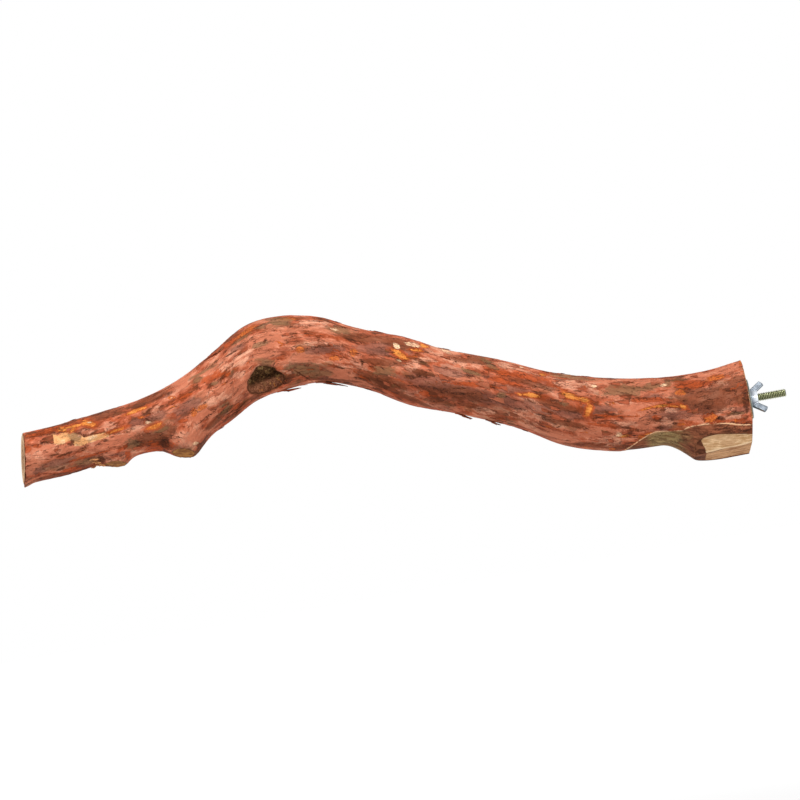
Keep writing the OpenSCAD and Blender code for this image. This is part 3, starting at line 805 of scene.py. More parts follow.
# Wood under the bark: shown at the two saw cuts, the slices, the twigs' faces and in the knothole
woodLook = {
    "coarse": 4.0,                 # between the rings of points, and closer within the fine stretches
    "fine": 0.6,
    "fineStretches": [(0, 58), (335, 376), (403, 440), (460, 492), (542, 546)],
    "coarseTurn": 5.0,             # degrees between the points of a ring, and closer within the fine arc
    "fineTurn": 1.25,
    "fineArc": (84, 202),
    "capRings": 26,
    # height, length and width of the splinters on the slices
    "splinters": (0.35, 26, 3.2),
    "splinterSink": 0.9,           # share of their height by which the slices lie deeper
    "belowRougher": 1.4,           # how much rougher the lower slice is
    "bareLimit": 20,               # millimetres told apart on each side of the ledge and of the bare line
    "sawMarks": (0.10, 1.4),       # on the twigs' faces: height and length
    # on the two ends: height, the two lengths of a mark, and how far the face lies in from the cut
    "endMarks": (0.12, 9, 0.8),
    "endSunk": 0.14,
    # bare wood starts at this line by its pixels
    "barePixels": [(712, 433), (706.5, 434.6), (703, 437), (701.6, 441), (703.2, 445), (705.6, 449),
                   (706.5, 453), (705, 462)],
    "boreRadius": 3.20,
    "pilotRadius": 2.22,
    "collarDepth": 4.0,
    "pilotDepth": 32.6,
    "pilotPoint": 1.2,
}

# the parts of the wood that look different, in the order of its finishes
woodRegions = ["skin", "slice", "sliceBelow", "twig", "secondTwig", "hollow", "clampedEnd", "freeEnd"]


def spacedOut(stop, coarse, fine, stretches):
    # steps from 0 to stop that are fine within the stretches and coarse elsewhere
    ends = sorted({0.0, float(stop), *[float(e) for stretch in stretches for e in stretch]})
    steps = []
    for low, high in zip(ends[:-1], ends[1:]):
        inside = any(low >= first and high <= last for first, last in stretches)
        count = max(1, round((high - low) / (fine if inside else coarse)))
        steps.append(np.linspace(low, high, count, endpoint=False))
    return np.concatenate([*steps, [float(stop)]])


def woodSurface(s, a):
    # distance of the wood from the middle, before the knothole, and which cut limits it
    skin = stemRadius(s, a)[0] - branch["barkThickness"]
    grain = grainPlace(s, a)
    height, length, width = woodLook["splinters"]
    torn = height * (fractal(grain / np.array([length, width, width]), 3, 81) - woodLook["splinterSink"])
    markHeight, markLength = woodLook["sawMarks"]
    sawn = markHeight * (softNoise(grain / markLength, 85) - 1)
    front, under = sliceRadius(s, a)
    cuts = [front + torn, under + woodLook["belowRougher"] * torn, *[t + sawn for t in twigRadius(s, a)]]
    limits = np.stack([skin, *cuts])
    ledge = np.clip(cuts[1] - cuts[0], -woodLook["bareLimit"], woodLook["bareLimit"])
    return limits.min(0), limits.argmin(0), grain, ledge


def carveHollow(points):
    # the knothole: its walls drop just inside the rim, and its floor is a deep pocket over a shallow shelf
    origin, along, around, outward = hollowFrame()
    u, v, height = hollowPlace(points)
    reach = hollowReach(u, v, height)
    inside = reach < 1
    wallShare, drawnShare = hollow["wallShare"], hollow["drawnShare"]
    wall = eased((1 - reach) / wallShare)
    drawn = np.where(reach > 1 - wallShare, 1 - drawnShare * (1 - reach) / wallShare,
                     reach / (1 - wallShare) * (1 - drawnShare))
    ratio = np.where(inside, drawn / np.maximum(reach, 1e-6), 1)
    newU, newV = u * ratio, v * ratio
    pocket = eased((hollow["shelfLine"] + hollow["shelfSlope"] * newU - newV) / hollow["pocketEdge"] + 0.5)
    roughHeight, roughLength = hollow["roughness"]
    rough = roughHeight * fractal(np.stack([newU, newV, 0 * newU], -1) / roughLength, 3, 90)
    atWall = hollow["shelfAtWall"]
    shelf = hollow["shelfDepth"] * (atWall + (1 - atWall) * eased((1 - reach) / hollow["shelfWhole"]))
    depth = wall * (shelf + pocket * (hollow["depth"] - shelf) + rough)
    moved = (origin + newU[..., None] * along + newV[..., None] * around
             + (height * ratio ** 2 - depth)[..., None] * outward)
    return np.where(inside[..., None], moved, points), np.where(inside, depth, 0), inside


def clampedCap(outline, turn):
    # rings that close from the outline to the bolt's bore, then down the bore to the pilot hole's point
    saw, rings = branch["sawFace"], woodLook["capRings"]
    count = np.arange(1, rings + 1)
    rim = outline.copy()
    rim[:, 0] = saw
    hole = ringAround(turn, saw, woodLook["boreRadius"])
    face = behindToe(rim + (hole - rim) * (count / rings)[:, None, None])
    height, broad, narrow = woodLook["endMarks"]
    sawn = height * softNoise(face / np.array([broad, broad, narrow]), 95) - woodLook["endSunk"]
    face[..., 0] += sawn * (eased(count / 2) * eased((rings - count) / 3))[:, None]
    steps = [("collarDepth", "boreRadius"), ("collarDepth", "pilotRadius"), ("pilotDepth", "pilotRadius")]
    bore = [ringAround(turn, saw - woodLook[depth], woodLook[radius]) for depth, radius in steps]
    point = np.array([[saw - woodLook["pilotDepth"] - woodLook["pilotPoint"], 0, 0]])
    return np.concatenate([face, np.stack(bore)]), point


def freeCap(outline):
    # rings that close from the outline to the middle of the stem
    rings = woodLook["capRings"]
    count = np.arange(1, rings)
    middle = stemLine(np.array([1.0]))
    face = outline + (middle - outline) * (count / rings)[:, None, None]
    height, broad, narrow = woodLook["endMarks"]
    sawn = height * softNoise(face / np.array([broad, narrow, broad]), 96) + woodLook["endSunk"]
    face[..., 0] += sawn * eased(count / 2)[:, None]
    return face, middle


def capFaces(outline, rings, first):
    # faces that close an outline over rings of points and a last point, which are numbered from first
    columns = len(outline)
    start = first + np.arange(columns)
    joint = np.stack([outline, np.roll(outline, -1), np.roll(start, -1), start], -1)
    last = start + (rings - 1) * columns
    return [joint, gridFaces(rings, columns, first=first), fan(last, first + rings * columns)]


def makeWood():
    # rings of points along the branch, with the knothole carved into them and a cap over each end
    alongSteps = spacedOut(branch["length"], woodLook["coarse"], woodLook["fine"], woodLook["fineStretches"])
    turnSteps = spacedOut(360, woodLook["coarseTurn"], woodLook["fineTurn"], [woodLook["fineArc"]])[:-1]
    s, a = np.meshgrid(alongSteps / branch["length"], turnSteps, indexing="ij")
    rows, columns = s.shape
    radius, limit, grain, ledge = woodSurface(s, a)
    side, depth, inside = carveHollow(placed(s, a, radius))
    corners = gridFaces(rows, columns)
    region = np.where(inside, woodRegions.index("hollow"), limit)
    points, faces = side.reshape(-1, 3), [turnedOver(corners)]
    faceRegion = [region.ravel()[corners[:, 0]]]
    for end, outline, cap in (("clampedEnd", 0, clampedCap(side[0], np.radians(turnSteps))),
                              ("freeEnd", (rows - 1) * columns, freeCap(side[-1]))):
        rings, point = cap
        added = capFaces(outline + np.arange(columns), len(rings), len(points))
        faces += [turnedOver(f) for f in added] if end == "freeEnd" else added
        faceRegion.append(np.full(sum(len(f) for f in added), woodRegions.index(end)))
        points = np.concatenate([points, rings.reshape(-1, 3), point])

    across, down = pixelOf(points)
    line = np.array(woodLook["barePixels"])
    clinging = (np.interp(down, line[:, 1], line[:, 0]) - across) * camera["pixel"]
    onCaps = np.zeros(len(points) - s.size)
    attributes = {
        "grain": np.concatenate([grain.reshape(-1, 3), points[s.size:]]),
        "hollowDepth": np.concatenate([depth.ravel(), onCaps]),
        "ledge": np.concatenate([ledge.ravel(), onCaps]),
        "clinging": np.clip(clinging, -woodLook["bareLimit"], woodLook["bareLimit"]),
    }
    piece = makePiece("woodCore", points, faces, attributes, creaseAngle=42)
    return piece, np.concatenate(faceRegion)


print("building the bark and the wood")
bark = makeBark()
wood, woodRegion = makeWood()


# Loose strips and flakes of outer bark: thin sheets that lie on the bark at one end and curl off it
looseLook = {
    "stripLength": 19,
    "stripWidth": 13,
    "stripLift": 1.3,
    "stripCells": (36, 14),        # along and across
    "thickness": 0.5,
    "fibreWidth": 1.5,
    "flakeThickness": 0.2,
    "flakeCells": (12, 8),
    "flakes": 110,
    "flakeLength": (4.0, 11.0),
    "flakeWidth": (2.2, 5.0),
    "flakeLift": (0.08, 0.35),
    "flakeStretch": (0.02, 0.98),  # shares of the branch's length between which they lie
    "clearance": 6,                # from the knothole
    "cutClearance": 4,             # from the other cuts
    "oldBark": 1.6,                # they start where more layers than this are left
    "widest": 34.2,                # and never further than this from the middle, to the front or the back
    "seed": 5,
    "frayLength": 2.2,             # of one fray of a sheet's tip, and its width
    "frayWidth": 2.6,
    "sideFrayLength": 2.5,
    "tipFray": 0.34,               # share of the length that the frays take
    "sideFray": 0.22,
    "cornerLoss": 0.30,            # share of the length that is missing at the tip's corners
    "narrowing": 0.5,              # share of the width that is lost by the tip
    "cupping": 0.5,                # how much further the sides lift than the middle
    "ripple": 0.15,
    "seatedSlope": 1.6,            # how fast a sheet evens out the bark's relief below it
    "sunk": (0.12, 0.3),           # how far its top and its underside sink in where it starts
    # along, angle, length share, width share, lift share, as the frame's strips lie
    "strips": [
        (0.640, 176, -0.85, 0.60, 1.00), (0.585, 170, -1.00, 0.75, 0.85), (0.402, 172, -0.60, 0.55, 0.90),
        (0.362, 168, -0.50, 0.50, 0.80), (0.955, 60, 0.60, 0.70, 0.50),
        (0.700, 20, 0.75, 0.80, 0.50), (0.470, 340, 0.80, 0.90, 0.50), (0.270, 300, -0.90, 1.00, 0.60),
        (0.530, 215, 0.90, 0.90, 0.80), (0.905, 146, -0.34, 0.05, 1.30), (0.902, 153, -0.36, 0.06, 1.20),
        (0.908, 136, -0.30, 0.05, 1.00), (0.898, 161, 0.30, 0.05, 1.00),
    ],
}


def frayed(octaves, salt, *place):
    # noise over places given as three arrays of any matching shapes
    return fractal(np.stack(np.broadcast_arrays(*place), -1), octaves, salt)


def looseSheets(name, rows, cells, thickness):
    # rows hold along, angle, length, width and lift in millimetres; every sheet is worked out at once.
    # A sheet's outline narrows and frays towards its free end, and it lifts with the square of the way there
    rows = np.array(rows)
    alongCells, acrossCells = cells
    start, angle, length, width, lift = (rows[:, k, None, None] for k in range(5))
    u = (np.arange(alongCells + 1) / alongCells)[None, :, None]
    v = (2 * np.arange(acrossCells + 1) / acrossCells - 1)[None, None, :]
    number = np.arange(len(rows))[:, None, None]
    look, reach = looseLook, u * np.abs(length)
    fray = frayed(3, 201, reach / look["frayLength"], v * width / look["frayWidth"], 7.3 * number)
    sideFray = frayed(2, 205, reach / look["sideFrayLength"], np.sign(v) * 3.1, 5.1 * number)
    tip = 1 - look["cornerLoss"] * eased((np.abs(v) - 0.1) / 0.9) + look["tipFray"] * fray
    run = start + u * tip * length / branch["length"]
    halfTurn = np.degrees(np.arcsin(np.clip(width / branch["width"], 0, 1)))
    narrow = (1 - look["narrowing"] * u * u) * (1 + look["sideFray"] * sideFray)
    turn = angle + halfTurn * narrow * v + 0 * u
    curl = lift * (u * u * (1 + look["cupping"] * v * v) + look["ripple"] * fray * u)
    run, turn, curl = np.broadcast_arrays(run, turn, curl)
    outer = barkSurface(run, turn)[0]
    smooth = outer.mean(2, keepdims=True) * 0.5 + outer * 0.5
    even = eased(u * look["seatedSlope"])
    seated = smooth * even + outer * (1 - even)
    topSunk, underSunk = look["sunk"]
    top = placed(run, turn, seated + curl + thickness - topSunk * (1 - u) * (thickness + 0.1))
    under = placed(run, turn, seated + curl - underSunk * (1 - u))

    # each sheet's two faces and the wall round them
    across = acrossCells + 1
    count = (alongCells + 1) * across
    face = gridFaces(alongCells + 1, across, ring=False)
    rim = np.concatenate([
        np.arange(across),
        np.arange(1, alongCells + 1) * across + acrossCells,
        count - 1 - np.arange(1, across),
        (alongCells - np.arange(1, alongCells)) * across,
    ])
    wall = np.stack([rim, rim + count, np.roll(rim, -1) + count, np.roll(rim, -1)], -1)
    sheet = np.concatenate([face, turnedOver(face) + count, wall])
    faces = []
    for forwards in (True, False):
        chosen = np.nonzero((rows[:, 2] > 0) == forwards)[0]
        oneSheet = turnedOver(sheet) if forwards else sheet
        faces.append((oneSheet[None] + chosen[:, None, None] * 2 * count).reshape(-1, 4))
    points = np.stack([side.reshape(len(rows), count, 3) for side in (top, under)], 1).reshape(-1, 3)
    grain = np.repeat(grainPlace(run, turn).reshape(len(rows), 1, count, 3), 2, 1).reshape(-1, 3)
    underside = np.tile(np.repeat([0.0, 1.0], count), len(rows))
    # the narrowest sheets are pale fibres of inner bark
    shade = hashed(np.stack([np.arange(len(rows))] * 3, -1), 9) * 0.9
    shade = np.repeat(np.where(rows[:, 3] < look["fibreWidth"], 1.0, shade), 2 * count)
    return makePiece(name, points, faces, {"grain": grain, "underside": underside, "shade": shade})


def flakeRows():
    # places for the flakes at random: only those that start on thick old bark stay, clear of the openings,
    # the torn bark, the peeled wedge and the branch's widest places
    random = np.random.default_rng(looseLook["seed"])
    n = looseLook["flakes"] * 3
    low, high = looseLook["flakeStretch"]
    along, angle = random.uniform(low, high, n), random.uniform(0, 360, n)
    forwards = np.where(random.random(n) < 0.5, 1, -1)
    length = random.uniform(*looseLook["flakeLength"], n) * forwards
    width = random.uniform(*looseLook["flakeWidth"], n)
    lift = random.uniform(*looseLook["flakeLift"], n)
    tip = along + length / branch["length"]
    rim, cut = openingEdge(along, angle)[1:]
    clear = (rim > looseLook["clearance"]) & (openingEdge(tip, angle)[1] > looseLook["clearance"])
    uncut = stemRadius(along, angle)[0] < cut - looseLook["cutClearance"]
    kept = clear & uncut & (tip > low) & (tip < high)
    kept &= peelField(grainPlace(along, angle)) > looseLook["oldBark"]
    points, tips = (placed(s, angle, stemRadius(s, angle)[0]) for s in (along, tip))
    kept &= tornField(points) < -1
    for ends in (points, tips):
        kept &= (patchFields(ends)["peach"] < -0.2) & (np.abs(ends[:, 1]) < looseLook["widest"])
    return np.stack([along, angle, length, width, lift], -1)[np.nonzero(kept)[0][:looseLook["flakes"]]]


def makeLooseBark():
    strips = np.array(looseLook["strips"])
    strips[:, 2:] *= [looseLook["stripLength"], looseLook["stripWidth"], looseLook["stripLift"]]
    bigSheets = looseSheets("barkStrips", strips, looseLook["stripCells"], looseLook["thickness"])
    smallSheets = looseSheets("barkFlakes", flakeRows(), looseLook["flakeCells"], looseLook["flakeThickness"])
    return bigSheets, smallSheets


# Turned metal: a closed outline of distances along the bolt and from its axis, carried round it
def turned(name, outline, columns):
    outline = np.array(outline, float)
    points = ringAround(np.arange(columns) * 2 * np.pi / columns, outline[:, 0, None], outline[:, 1, None])
    faces = gridFaces(len(outline) + 1, columns) % (len(outline) * columns)
    return makePiece(name, points.reshape(-1, 3), [turnedOver(faces)], creaseAngle=50)


boltLow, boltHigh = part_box("hanger_bolt")
boltLook = {
    "point": boltLow.x / metre,
    "tip": boltHigh.x / metre,
    "radius": boltHigh.z / metre,
    "columns": 56,
    "pitch": 1.27,
    "depth": 0.78,
    "flatShare": 0.14,             # of the machine thread's root and crest
    "rowsPerTurn": 14,
    "chamfer": 0.77,
    "runOut": 1.2,
    "woodPitch": 2.6,
    "woodRootRadius": 2.2,
    "woodFlatShare": 0.5,
    "woodRowsPerTurn": 12,
    "woodCrestPower": 1.5,         # above 1 makes the wood thread's crests thinner
    "pointRadius": 0.15,
    "pointSlope": 0.55,
    "collar": 4.0,
    "collarEdge": 0.05,            # a narrow ring that keeps the collar's edge crisp
}


def makeBolt():
    # distance from the axis is a function of the place along and the angle: the thread's profile is read at
    # the place along less the pitch times the turned share, so its crest winds round the bolt
    look, saw = boltLook, branch["sawFace"]
    radius = look["radius"]
    collarStart = saw - look["collar"]
    woodRows = round((collarStart - look["point"]) / look["woodPitch"] * look["woodRowsPerTurn"])
    machineRows = round((look["tip"] - saw) / look["pitch"] * look["rowsPerTurn"])
    x = np.concatenate([
        np.linspace(look["point"], collarStart, woodRows, endpoint=False),
        [collarStart, collarStart + look["collarEdge"]],
        np.linspace(saw, look["tip"], machineRows),
    ])[:, None]
    share = (np.arange(look["columns"]) / look["columns"])[None, :]

    def profile(pitch, flat):
        # 1 on the crest, 0 in the root, with straight flanks between
        phase = (x / pitch - share) % 1
        return np.clip((np.abs(2 * phase - 1) - flat) / (1 - 2 * flat), 0, 1)

    started = eased((x - saw) / look["runOut"])
    machine = radius - look["depth"] * (1 - profile(look["pitch"], look["flatShare"])) * started
    machine = np.minimum(machine, radius - look["chamfer"] + (look["tip"] - x))
    crest = profile(look["woodPitch"], look["woodFlatShare"]) ** look["woodCrestPower"]
    wood = look["woodRootRadius"] + (radius - look["woodRootRadius"]) * crest
    wood = np.minimum(wood, look["pointRadius"] + (x - look["point"]) * look["pointSlope"])
    r = np.where(x < collarStart, wood, np.where(x < saw, radius, machine))
    points = ringAround(share * 2 * np.pi, x, r)
    rows, columns = points.shape[:2]
    count = rows * columns
    faces = [
        gridFaces(rows, columns),
        turnedOver(fan(np.arange(columns), count)),
        fan((rows - 1) * columns + np.arange(columns), count + 1),
    ]
    ends = np.array([[look["point"], 0, 0], [look["tip"], 0, 0]])
    return makePiece("hangerBolt", np.concatenate([points.reshape(-1, 3), ends]), faces, creaseAngle=60)


washerLook = {
    "columns": 192,
    "edgeRound": 0.42,
    "burr": 0.14,
    "boreGap": 0.2,
}


def makeWasher(name, node):
    # a punched disc: one edge rounded by the punch, the other sharp with a small burr
    low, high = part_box(node)
    back, front, rim = low.x / metre, high.x / metre, high.z / metre
    hole = boltLook["radius"] + washerLook["boreGap"]
    arc = np.radians(np.linspace(0, 90, 7))
    edge, burr = washerLook["edgeRound"], washerLook["burr"]
    outline = [(front, hole + edge)]
    outline += [(front - edge * (1 - math.cos(t)), rim - edge + edge * math.sin(t)) for t in arc]
    outline += [(back + burr, rim), (back, rim - burr), (back, hole + burr), (back + burr, hole)]
    outline += [(front - edge * (1 - math.sin(t)), hole + edge * (1 - math.cos(t))) for t in arc[:-1]]
    return turned(name, outline, washerLook["columns"])


nutLook = {
    "hubRadius": 6.0,
    "hubEndRadius": 5.2,
    "hubHeight": 5.6,
    "hubRound": 0.6,
    "hubFoot": 0.35,
    "hubColumns": 96,
    "boreRadius": 3.225,
    "boreChamfer": 0.45,
    "wingLength": 8.2,
    "wingRoot": 4.6,               # how far a wing starts inside the hub
    "wingWidth": 5.0,
    "wingThickness": 2.6,
    "wingThinShare": 0.21,         # how much of that is lost by the tip
    "wingTip": 0.9,                # length of the rounded tip
    # how much of the tip's rounding follows a circle, how fast the rest grows, and from what share
    "wingTipShape": (0.25, 3, 0.35),
    "wingPower": 0.42,             # 1 makes a wing's section an ellipse, less makes it squarer
    "wingCells": (26, 40),
    "flare": 38,
    "turn": -33,
    "voxel": 0.16,
    "smoothing": 9,
}


def makeHub(seat, end):
    # a turned outline with a rounded end, a small foot and a bore that is chamfered at both ends
    look = nutLook
    foot, soft = look["hubFoot"], look["hubRound"]
    bore, chamfer = look["boreRadius"], look["boreChamfer"]
    flat = look["hubEndRadius"] - soft
    arc = np.radians(np.linspace(0, 90, 6))
    outline = [(end - soft * (1 - math.cos(t)), flat + soft * math.sin(t)) for t in arc]
    outline += [(seat + foot, look["hubRadius"]), (seat, look["hubRadius"] - foot)]
    outline += [(seat, bore + chamfer), (seat + chamfer, bore), (end - chamfer, bore), (end, bore + chamfer)]
    return turned("wingNut", outline, look["hubColumns"])


def makeWings(end):
    # bars of rounded sections, set along a line that leans away from the bolt's axis; the second wing is the
    # first one turned half round
    look = nutLook
    rows, columns = look["wingCells"]
    run = np.linspace(-look["wingRoot"], look["wingLength"], rows)
    near = 1 - np.clip((run - (look["wingLength"] - look["wingTip"])) / look["wingTip"], 0, 1) ** 2
    circle, growth, least = look["wingTipShape"]
    size = circle * np.sqrt(np.clip(near, 0.02, 1)) + (1 - circle) * np.clip(near * growth, least, 1)
    angle = np.arange(columns) * 2 * np.pi / columns
    waves = np.cos(angle), np.sin(angle)
    across, through = (np.sign(wave) * np.abs(wave) ** look["wingPower"] for wave in waves)
    thinner = 1 - look["wingThinShare"] * np.clip(run / look["wingLength"], 0, 1)
    lean = math.radians(look["flare"])
    outwards = np.array([math.cos(lean), math.sin(lean)])
    sideways = np.array([-math.sin(lean), math.cos(lean)])
    half = look["wingWidth"] / 2
    centre = np.array([end, look["hubEndRadius"]]) + run[:, None] * outwards + half * sideways
    flat = centre[:, None, :] + (size * half)[:, None, None] * across[:, None] * sideways
    depth = (size * look["wingThickness"] / 2 * thinner)[:, None] * through
    turn, count = math.radians(look["turn"]), rows * columns
    wings = []
    for flip in (1, -1):
        radial, side = flat[..., 1] * flip, depth * flip
        y = -math.sin(turn) * radial + math.cos(turn) * side
        z = math.cos(turn) * radial + math.sin(turn) * side
        points = np.stack([flat[..., 0], y, z], -1)
        tips = np.stack([points[0].mean(0), points[-1].mean(0)])
        faces = [
            turnedOver(gridFaces(rows, columns)),
            fan(np.arange(columns), count),
            turnedOver(fan((rows - 1) * columns + np.arange(columns), count + 1)),
        ]
        wings.append(makePiece("nutWing", np.concatenate([points.reshape(-1, 3), tips]), faces))
    return wings


def makeNut():
    # a fine voxel remesh joins the hub and its wings, and smoothing leaves the small fillets of a casting
    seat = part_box("wing_nut")[0].x / metre
    end = seat + nutLook["hubHeight"]
    return joined("wingNut", [makeHub(seat, end), *makeWings(end)], nutLook["voxel"], nutLook["smoothing"])


def joined(name, pieces, voxel, smoothing):
    # one closed skin over several pieces
    bpy.ops.object.select_all(action="DESELECT")
    for piece in pieces:
        piece.select_set(True)
    bpy.context.view_layer.objects.active = pieces[0]
    bpy.ops.object.join()
    whole = pieces[0]
    whole.name = name
    remesh = whole.modifiers.new("oneSkin", "REMESH")
    remesh.mode = "VOXEL"
    remesh.voxel_size = voxel * metre
    remesh.use_smooth_shade = True
    relax = whole.modifiers.new("castEdges", "SMOOTH")
    relax.factor = 0.5
    relax.iterations = smoothing
    mesh = bpy.data.meshes.new_from_object(whole.evaluated_get(bpy.context.evaluated_depsgraph_get()))
    whole.modifiers.clear()
    whole.data = mesh
    return whole


# Materials

class Wire:
    # one output of a node; arithmetic on it adds Math nodes to its material
    def __init__(self, finish, socket):
        self.finish, self.socket = finish, socket

    def maths(self, operation, first, second):
        return self.finish.add("ShaderNodeMath", {"operation": operation}, {0: first, 1: second})

    def __add__(self, other):
        return self.maths("ADD", self, other)

    def __radd__(self, other):
        return self.maths("ADD", other, self)

    def __sub__(self, other):
        return self.maths("SUBTRACT", self, other)

    def __rsub__(self, other):
        return self.maths("SUBTRACT", other, self)

    def __mul__(self, other):
        return self.maths("MULTIPLY", self, other)

    def __rmul__(self, other):
        return self.maths("MULTIPLY", other, self)

    def __abs__(self):
        return self.maths("ABSOLUTE", self, 0)


class Finish:
    # a material, or the world around the room, whose nodes are added one call at a time
    def __init__(self, name, home=bpy.data.materials):
        self.block = home.new(name)
        self.block.use_nodes = True
        self.tree = self.block.node_tree
        self.tree.nodes.clear()

    def add(self, kind, settings=None, inputs=None, output=0):
        # settings are set first, then each input gets its value or its link
        node = self.tree.nodes.new(kind)
        for setting, value in (settings or {}).items():
            setattr(node, setting, value)
        for place, value in (inputs or {}).items():
            if isinstance(value, Wire):
                self.tree.links.new(value.socket, node.inputs[place])
            else:
                node.inputs[place].default_value = value
        return Wire(self, node.outputs[output]) if node.outputs else None

    def value(self, attribute):
        return self.add("ShaderNodeAttribute", {"attribute_name": attribute}, output="Fac")

    def vector(self, attribute):
        return self.add("ShaderNodeAttribute", {"attribute_name": attribute}, output="Vector")

    def place(self):
        # the object's own coordinates in millimetres
        return self.scaled(self.add("ShaderNodeTexCoord", output="Object"), (1 / metre, 1 / metre, 1 / metre))

    def vectorMaths(self, operation, inputs, output=0):
        return self.add("ShaderNodeVectorMath", {"operation": operation}, inputs, output)

    def scaled(self, vector, scale):
        return self.vectorMaths("MULTIPLY", {0: vector, 1: scale})

    def moved(self, vector, shift):
        return self.vectorMaths("ADD", {0: vector, 1: shift})

    def length(self, vector):
        return self.vectorMaths("LENGTH", {0: vector}, "Value")

    def part(self, vector, axis):
        return self.add("ShaderNodeSeparateXYZ", None, {0: vector}, axis)

    def noise(self, vector, scale, detail=3.0, roughness=0.55, output=0):
        return self.add("ShaderNodeTexNoise", None, {
            "Vector": vector, "Scale": scale, "Detail": detail, "Roughness": roughness}, output)

    def warped(self, vector, scale, amount):
        # the vector pushed about by coloured noise
        push = self.moved(self.noise(vector, scale, 2.0, output="Color"), (-0.5, -0.5, -0.5))
        return self.moved(vector, self.scaled(push, (amount, amount, amount)))

    def step(self, value, low, high):
        # a smooth step from 0 at low to 1 at high
        return self.add("ShaderNodeMapRange", {"interpolation_type": "SMOOTHSTEP"}, {
            "Value": value, "From Min": low, "From Max": high, "To Min": 0.0, "To Max": 1.0})

    def grey(self, value):
        # the same number in all three channels
        return self.add("ShaderNodeCombineXYZ", None, {0: value, 1: value, 2: value})

    def blend(self, factor, first, second, kind="MIX"):
        # colours go through Mix: three numbers or a wire each
        first, second = (c if isinstance(c, Wire) else (*c, 1.0) for c in (first, second))
        return self.add("ShaderNodeMix", {"data_type": "RGBA", "blend_type": kind},
                        {0: factor, 6: first, 7: second}, output=2)

    def shaded(self, colour, value):
        return self.blend(1.0, colour, self.grey(value), "MULTIPLY")

    def shown(self, shader, output="ShaderNodeOutputMaterial"):
        self.add(output, None, {"Surface": shader})

    def finished(self, colour, roughness, height, strength, fixed):
        # height is in millimetres, and fixed holds the sockets that stay the same all over
        bump = self.add("ShaderNodeBump", None, {"Strength": strength, "Distance": metre, "Height": height})
        inputs = {"Base Color": colour, "Roughness": roughness, "Normal": bump, **fixed}
        self.shown(self.add("ShaderNodeBsdfPrincipled", None, inputs))
        return self.block


# dry bark and wood shine very little
dryWood = {"Specular IOR Level": 0.10}

barkColours = {
    "salmon": (0.56, 0.176, 0.094),
    "mid": (0.44, 0.104, 0.047),
    "rust": (0.40, 0.064, 0.013),
    "brown": (0.155, 0.040, 0.015),
    "mauve": (0.23, 0.084, 0.055),
    "pale": (0.70, 0.335, 0.215),
    "olive": (0.165, 0.085, 0.036),
    "lichen": (0.26, 0.145, 0.072),
    "orange": (0.62, 0.170, 0.030),
    "amber": (0.72, 0.262, 0.056),
    "ember": (0.46, 0.095, 0.024),
    "peach": (0.78, 0.370, 0.150),
    "cream": (0.88, 0.620, 0.370),
    "dark": (0.050, 0.015, 0.007),
    # torn fibres under the lip: their darkest colour is partly painted shade
    "tornFibreShade": (0.080, 0.024, 0.011),
    "tornLight": (0.25, 0.085, 0.040),
    "mossDark": (0.20, 0.120, 0.046),
    "mossLight": (0.33, 0.235, 0.100),
    "lip": (0.78, 0.46, 0.26),
    "cutEdge": (0.24, 0.085, 0.038),
    # painted shade on the side that faces down: the share of each channel that is left there
    "undersideShade": (0.70, 0.52, 0.42),     # the share of each channel that is left
}


class BarkFinish(Finish):
    # a finish with the noises that the bark's colours, marks and relief share
    def __init__(self, name):
        super().__init__(name)
        self.grain = self.vector("grain")
        self.bent = self.warped(self.grain, 0.10, 5.0)
        self.flow = self.scaled(self.warped(self.bent, 0.42, 2.0), (0.36, 1.0, 1.0))
        threads = self.scaled(self.warped(self.grain, 0.30, 1.2), (0.10, 1.0, 1.0))
        self.streak = self.noise(threads, 0.8, 4.0, 0.6)
        self.middling = self.patches((31, 7, 3), 0.095)
        self.small = self.patches((3, 51, 13), 0.26, 4.0, 0.6)
        self.fine = self.noise(self.moved(self.grain, (7, 3, 91)), 0.9, 4.0, 0.6)

    def patches(self, shift, scale, detail=3.0, roughness=0.55):
        # noise that is drawn out along the branch; another shift gives other patches
        return self.noise(self.moved(self.flow, shift), scale, detail, roughness)


def barkGround(f):
    # soft streaks of the bark's own colours along the branch
    c = barkColours
    broad = f.patches((0, 0, 0), 0.040, 2.0)
    tone = (f.middling - 0.5) * 2.7 + (f.small - 0.5) * 1.9 + (broad - 0.5) * 1.9 + 0.05
    base = f.blend(f.step(tone, -0.42, -0.06), c["brown"], c["mid"])
    base = f.blend(f.step(tone, -0.08, 0.24), base, c["salmon"])
    base = f.blend(f.step(tone, 0.26, 0.60) * 0.6, base, c["pale"])
    base = f.blend(f.step(f.patches((11, 83, 5), 0.12), 0.53, 0.66) * 0.5, base, c["mauve"])
    base = f.blend(f.step(f.patches((5, 19, 67), 0.10), 0.57, 0.68) * 0.5, base, c["olive"])
    return f.blend(f.step(f.patches((77, 5, 29), 0.14), 0.56, 0.68) * 0.6, base, c["rust"])


def barkLayers(f, base, level):
    # raw inner bark where few layers are left, old bark where there are many, and how high these stand
    c = barkColours
    raw, old = f.step(level, 1.16, 0.96), f.step(level, 2.04, 2.26)
    base = f.blend(raw * 0.45, base, f.blend(f.step(f.small, 0.42, 0.60), c["rust"], c["salmon"]))
    base = f.blend(old * 0.45, base, f.blend(f.step(f.small, 0.44, 0.62), c["brown"], c["olive"]))
    return base, (old - raw) * 0.2


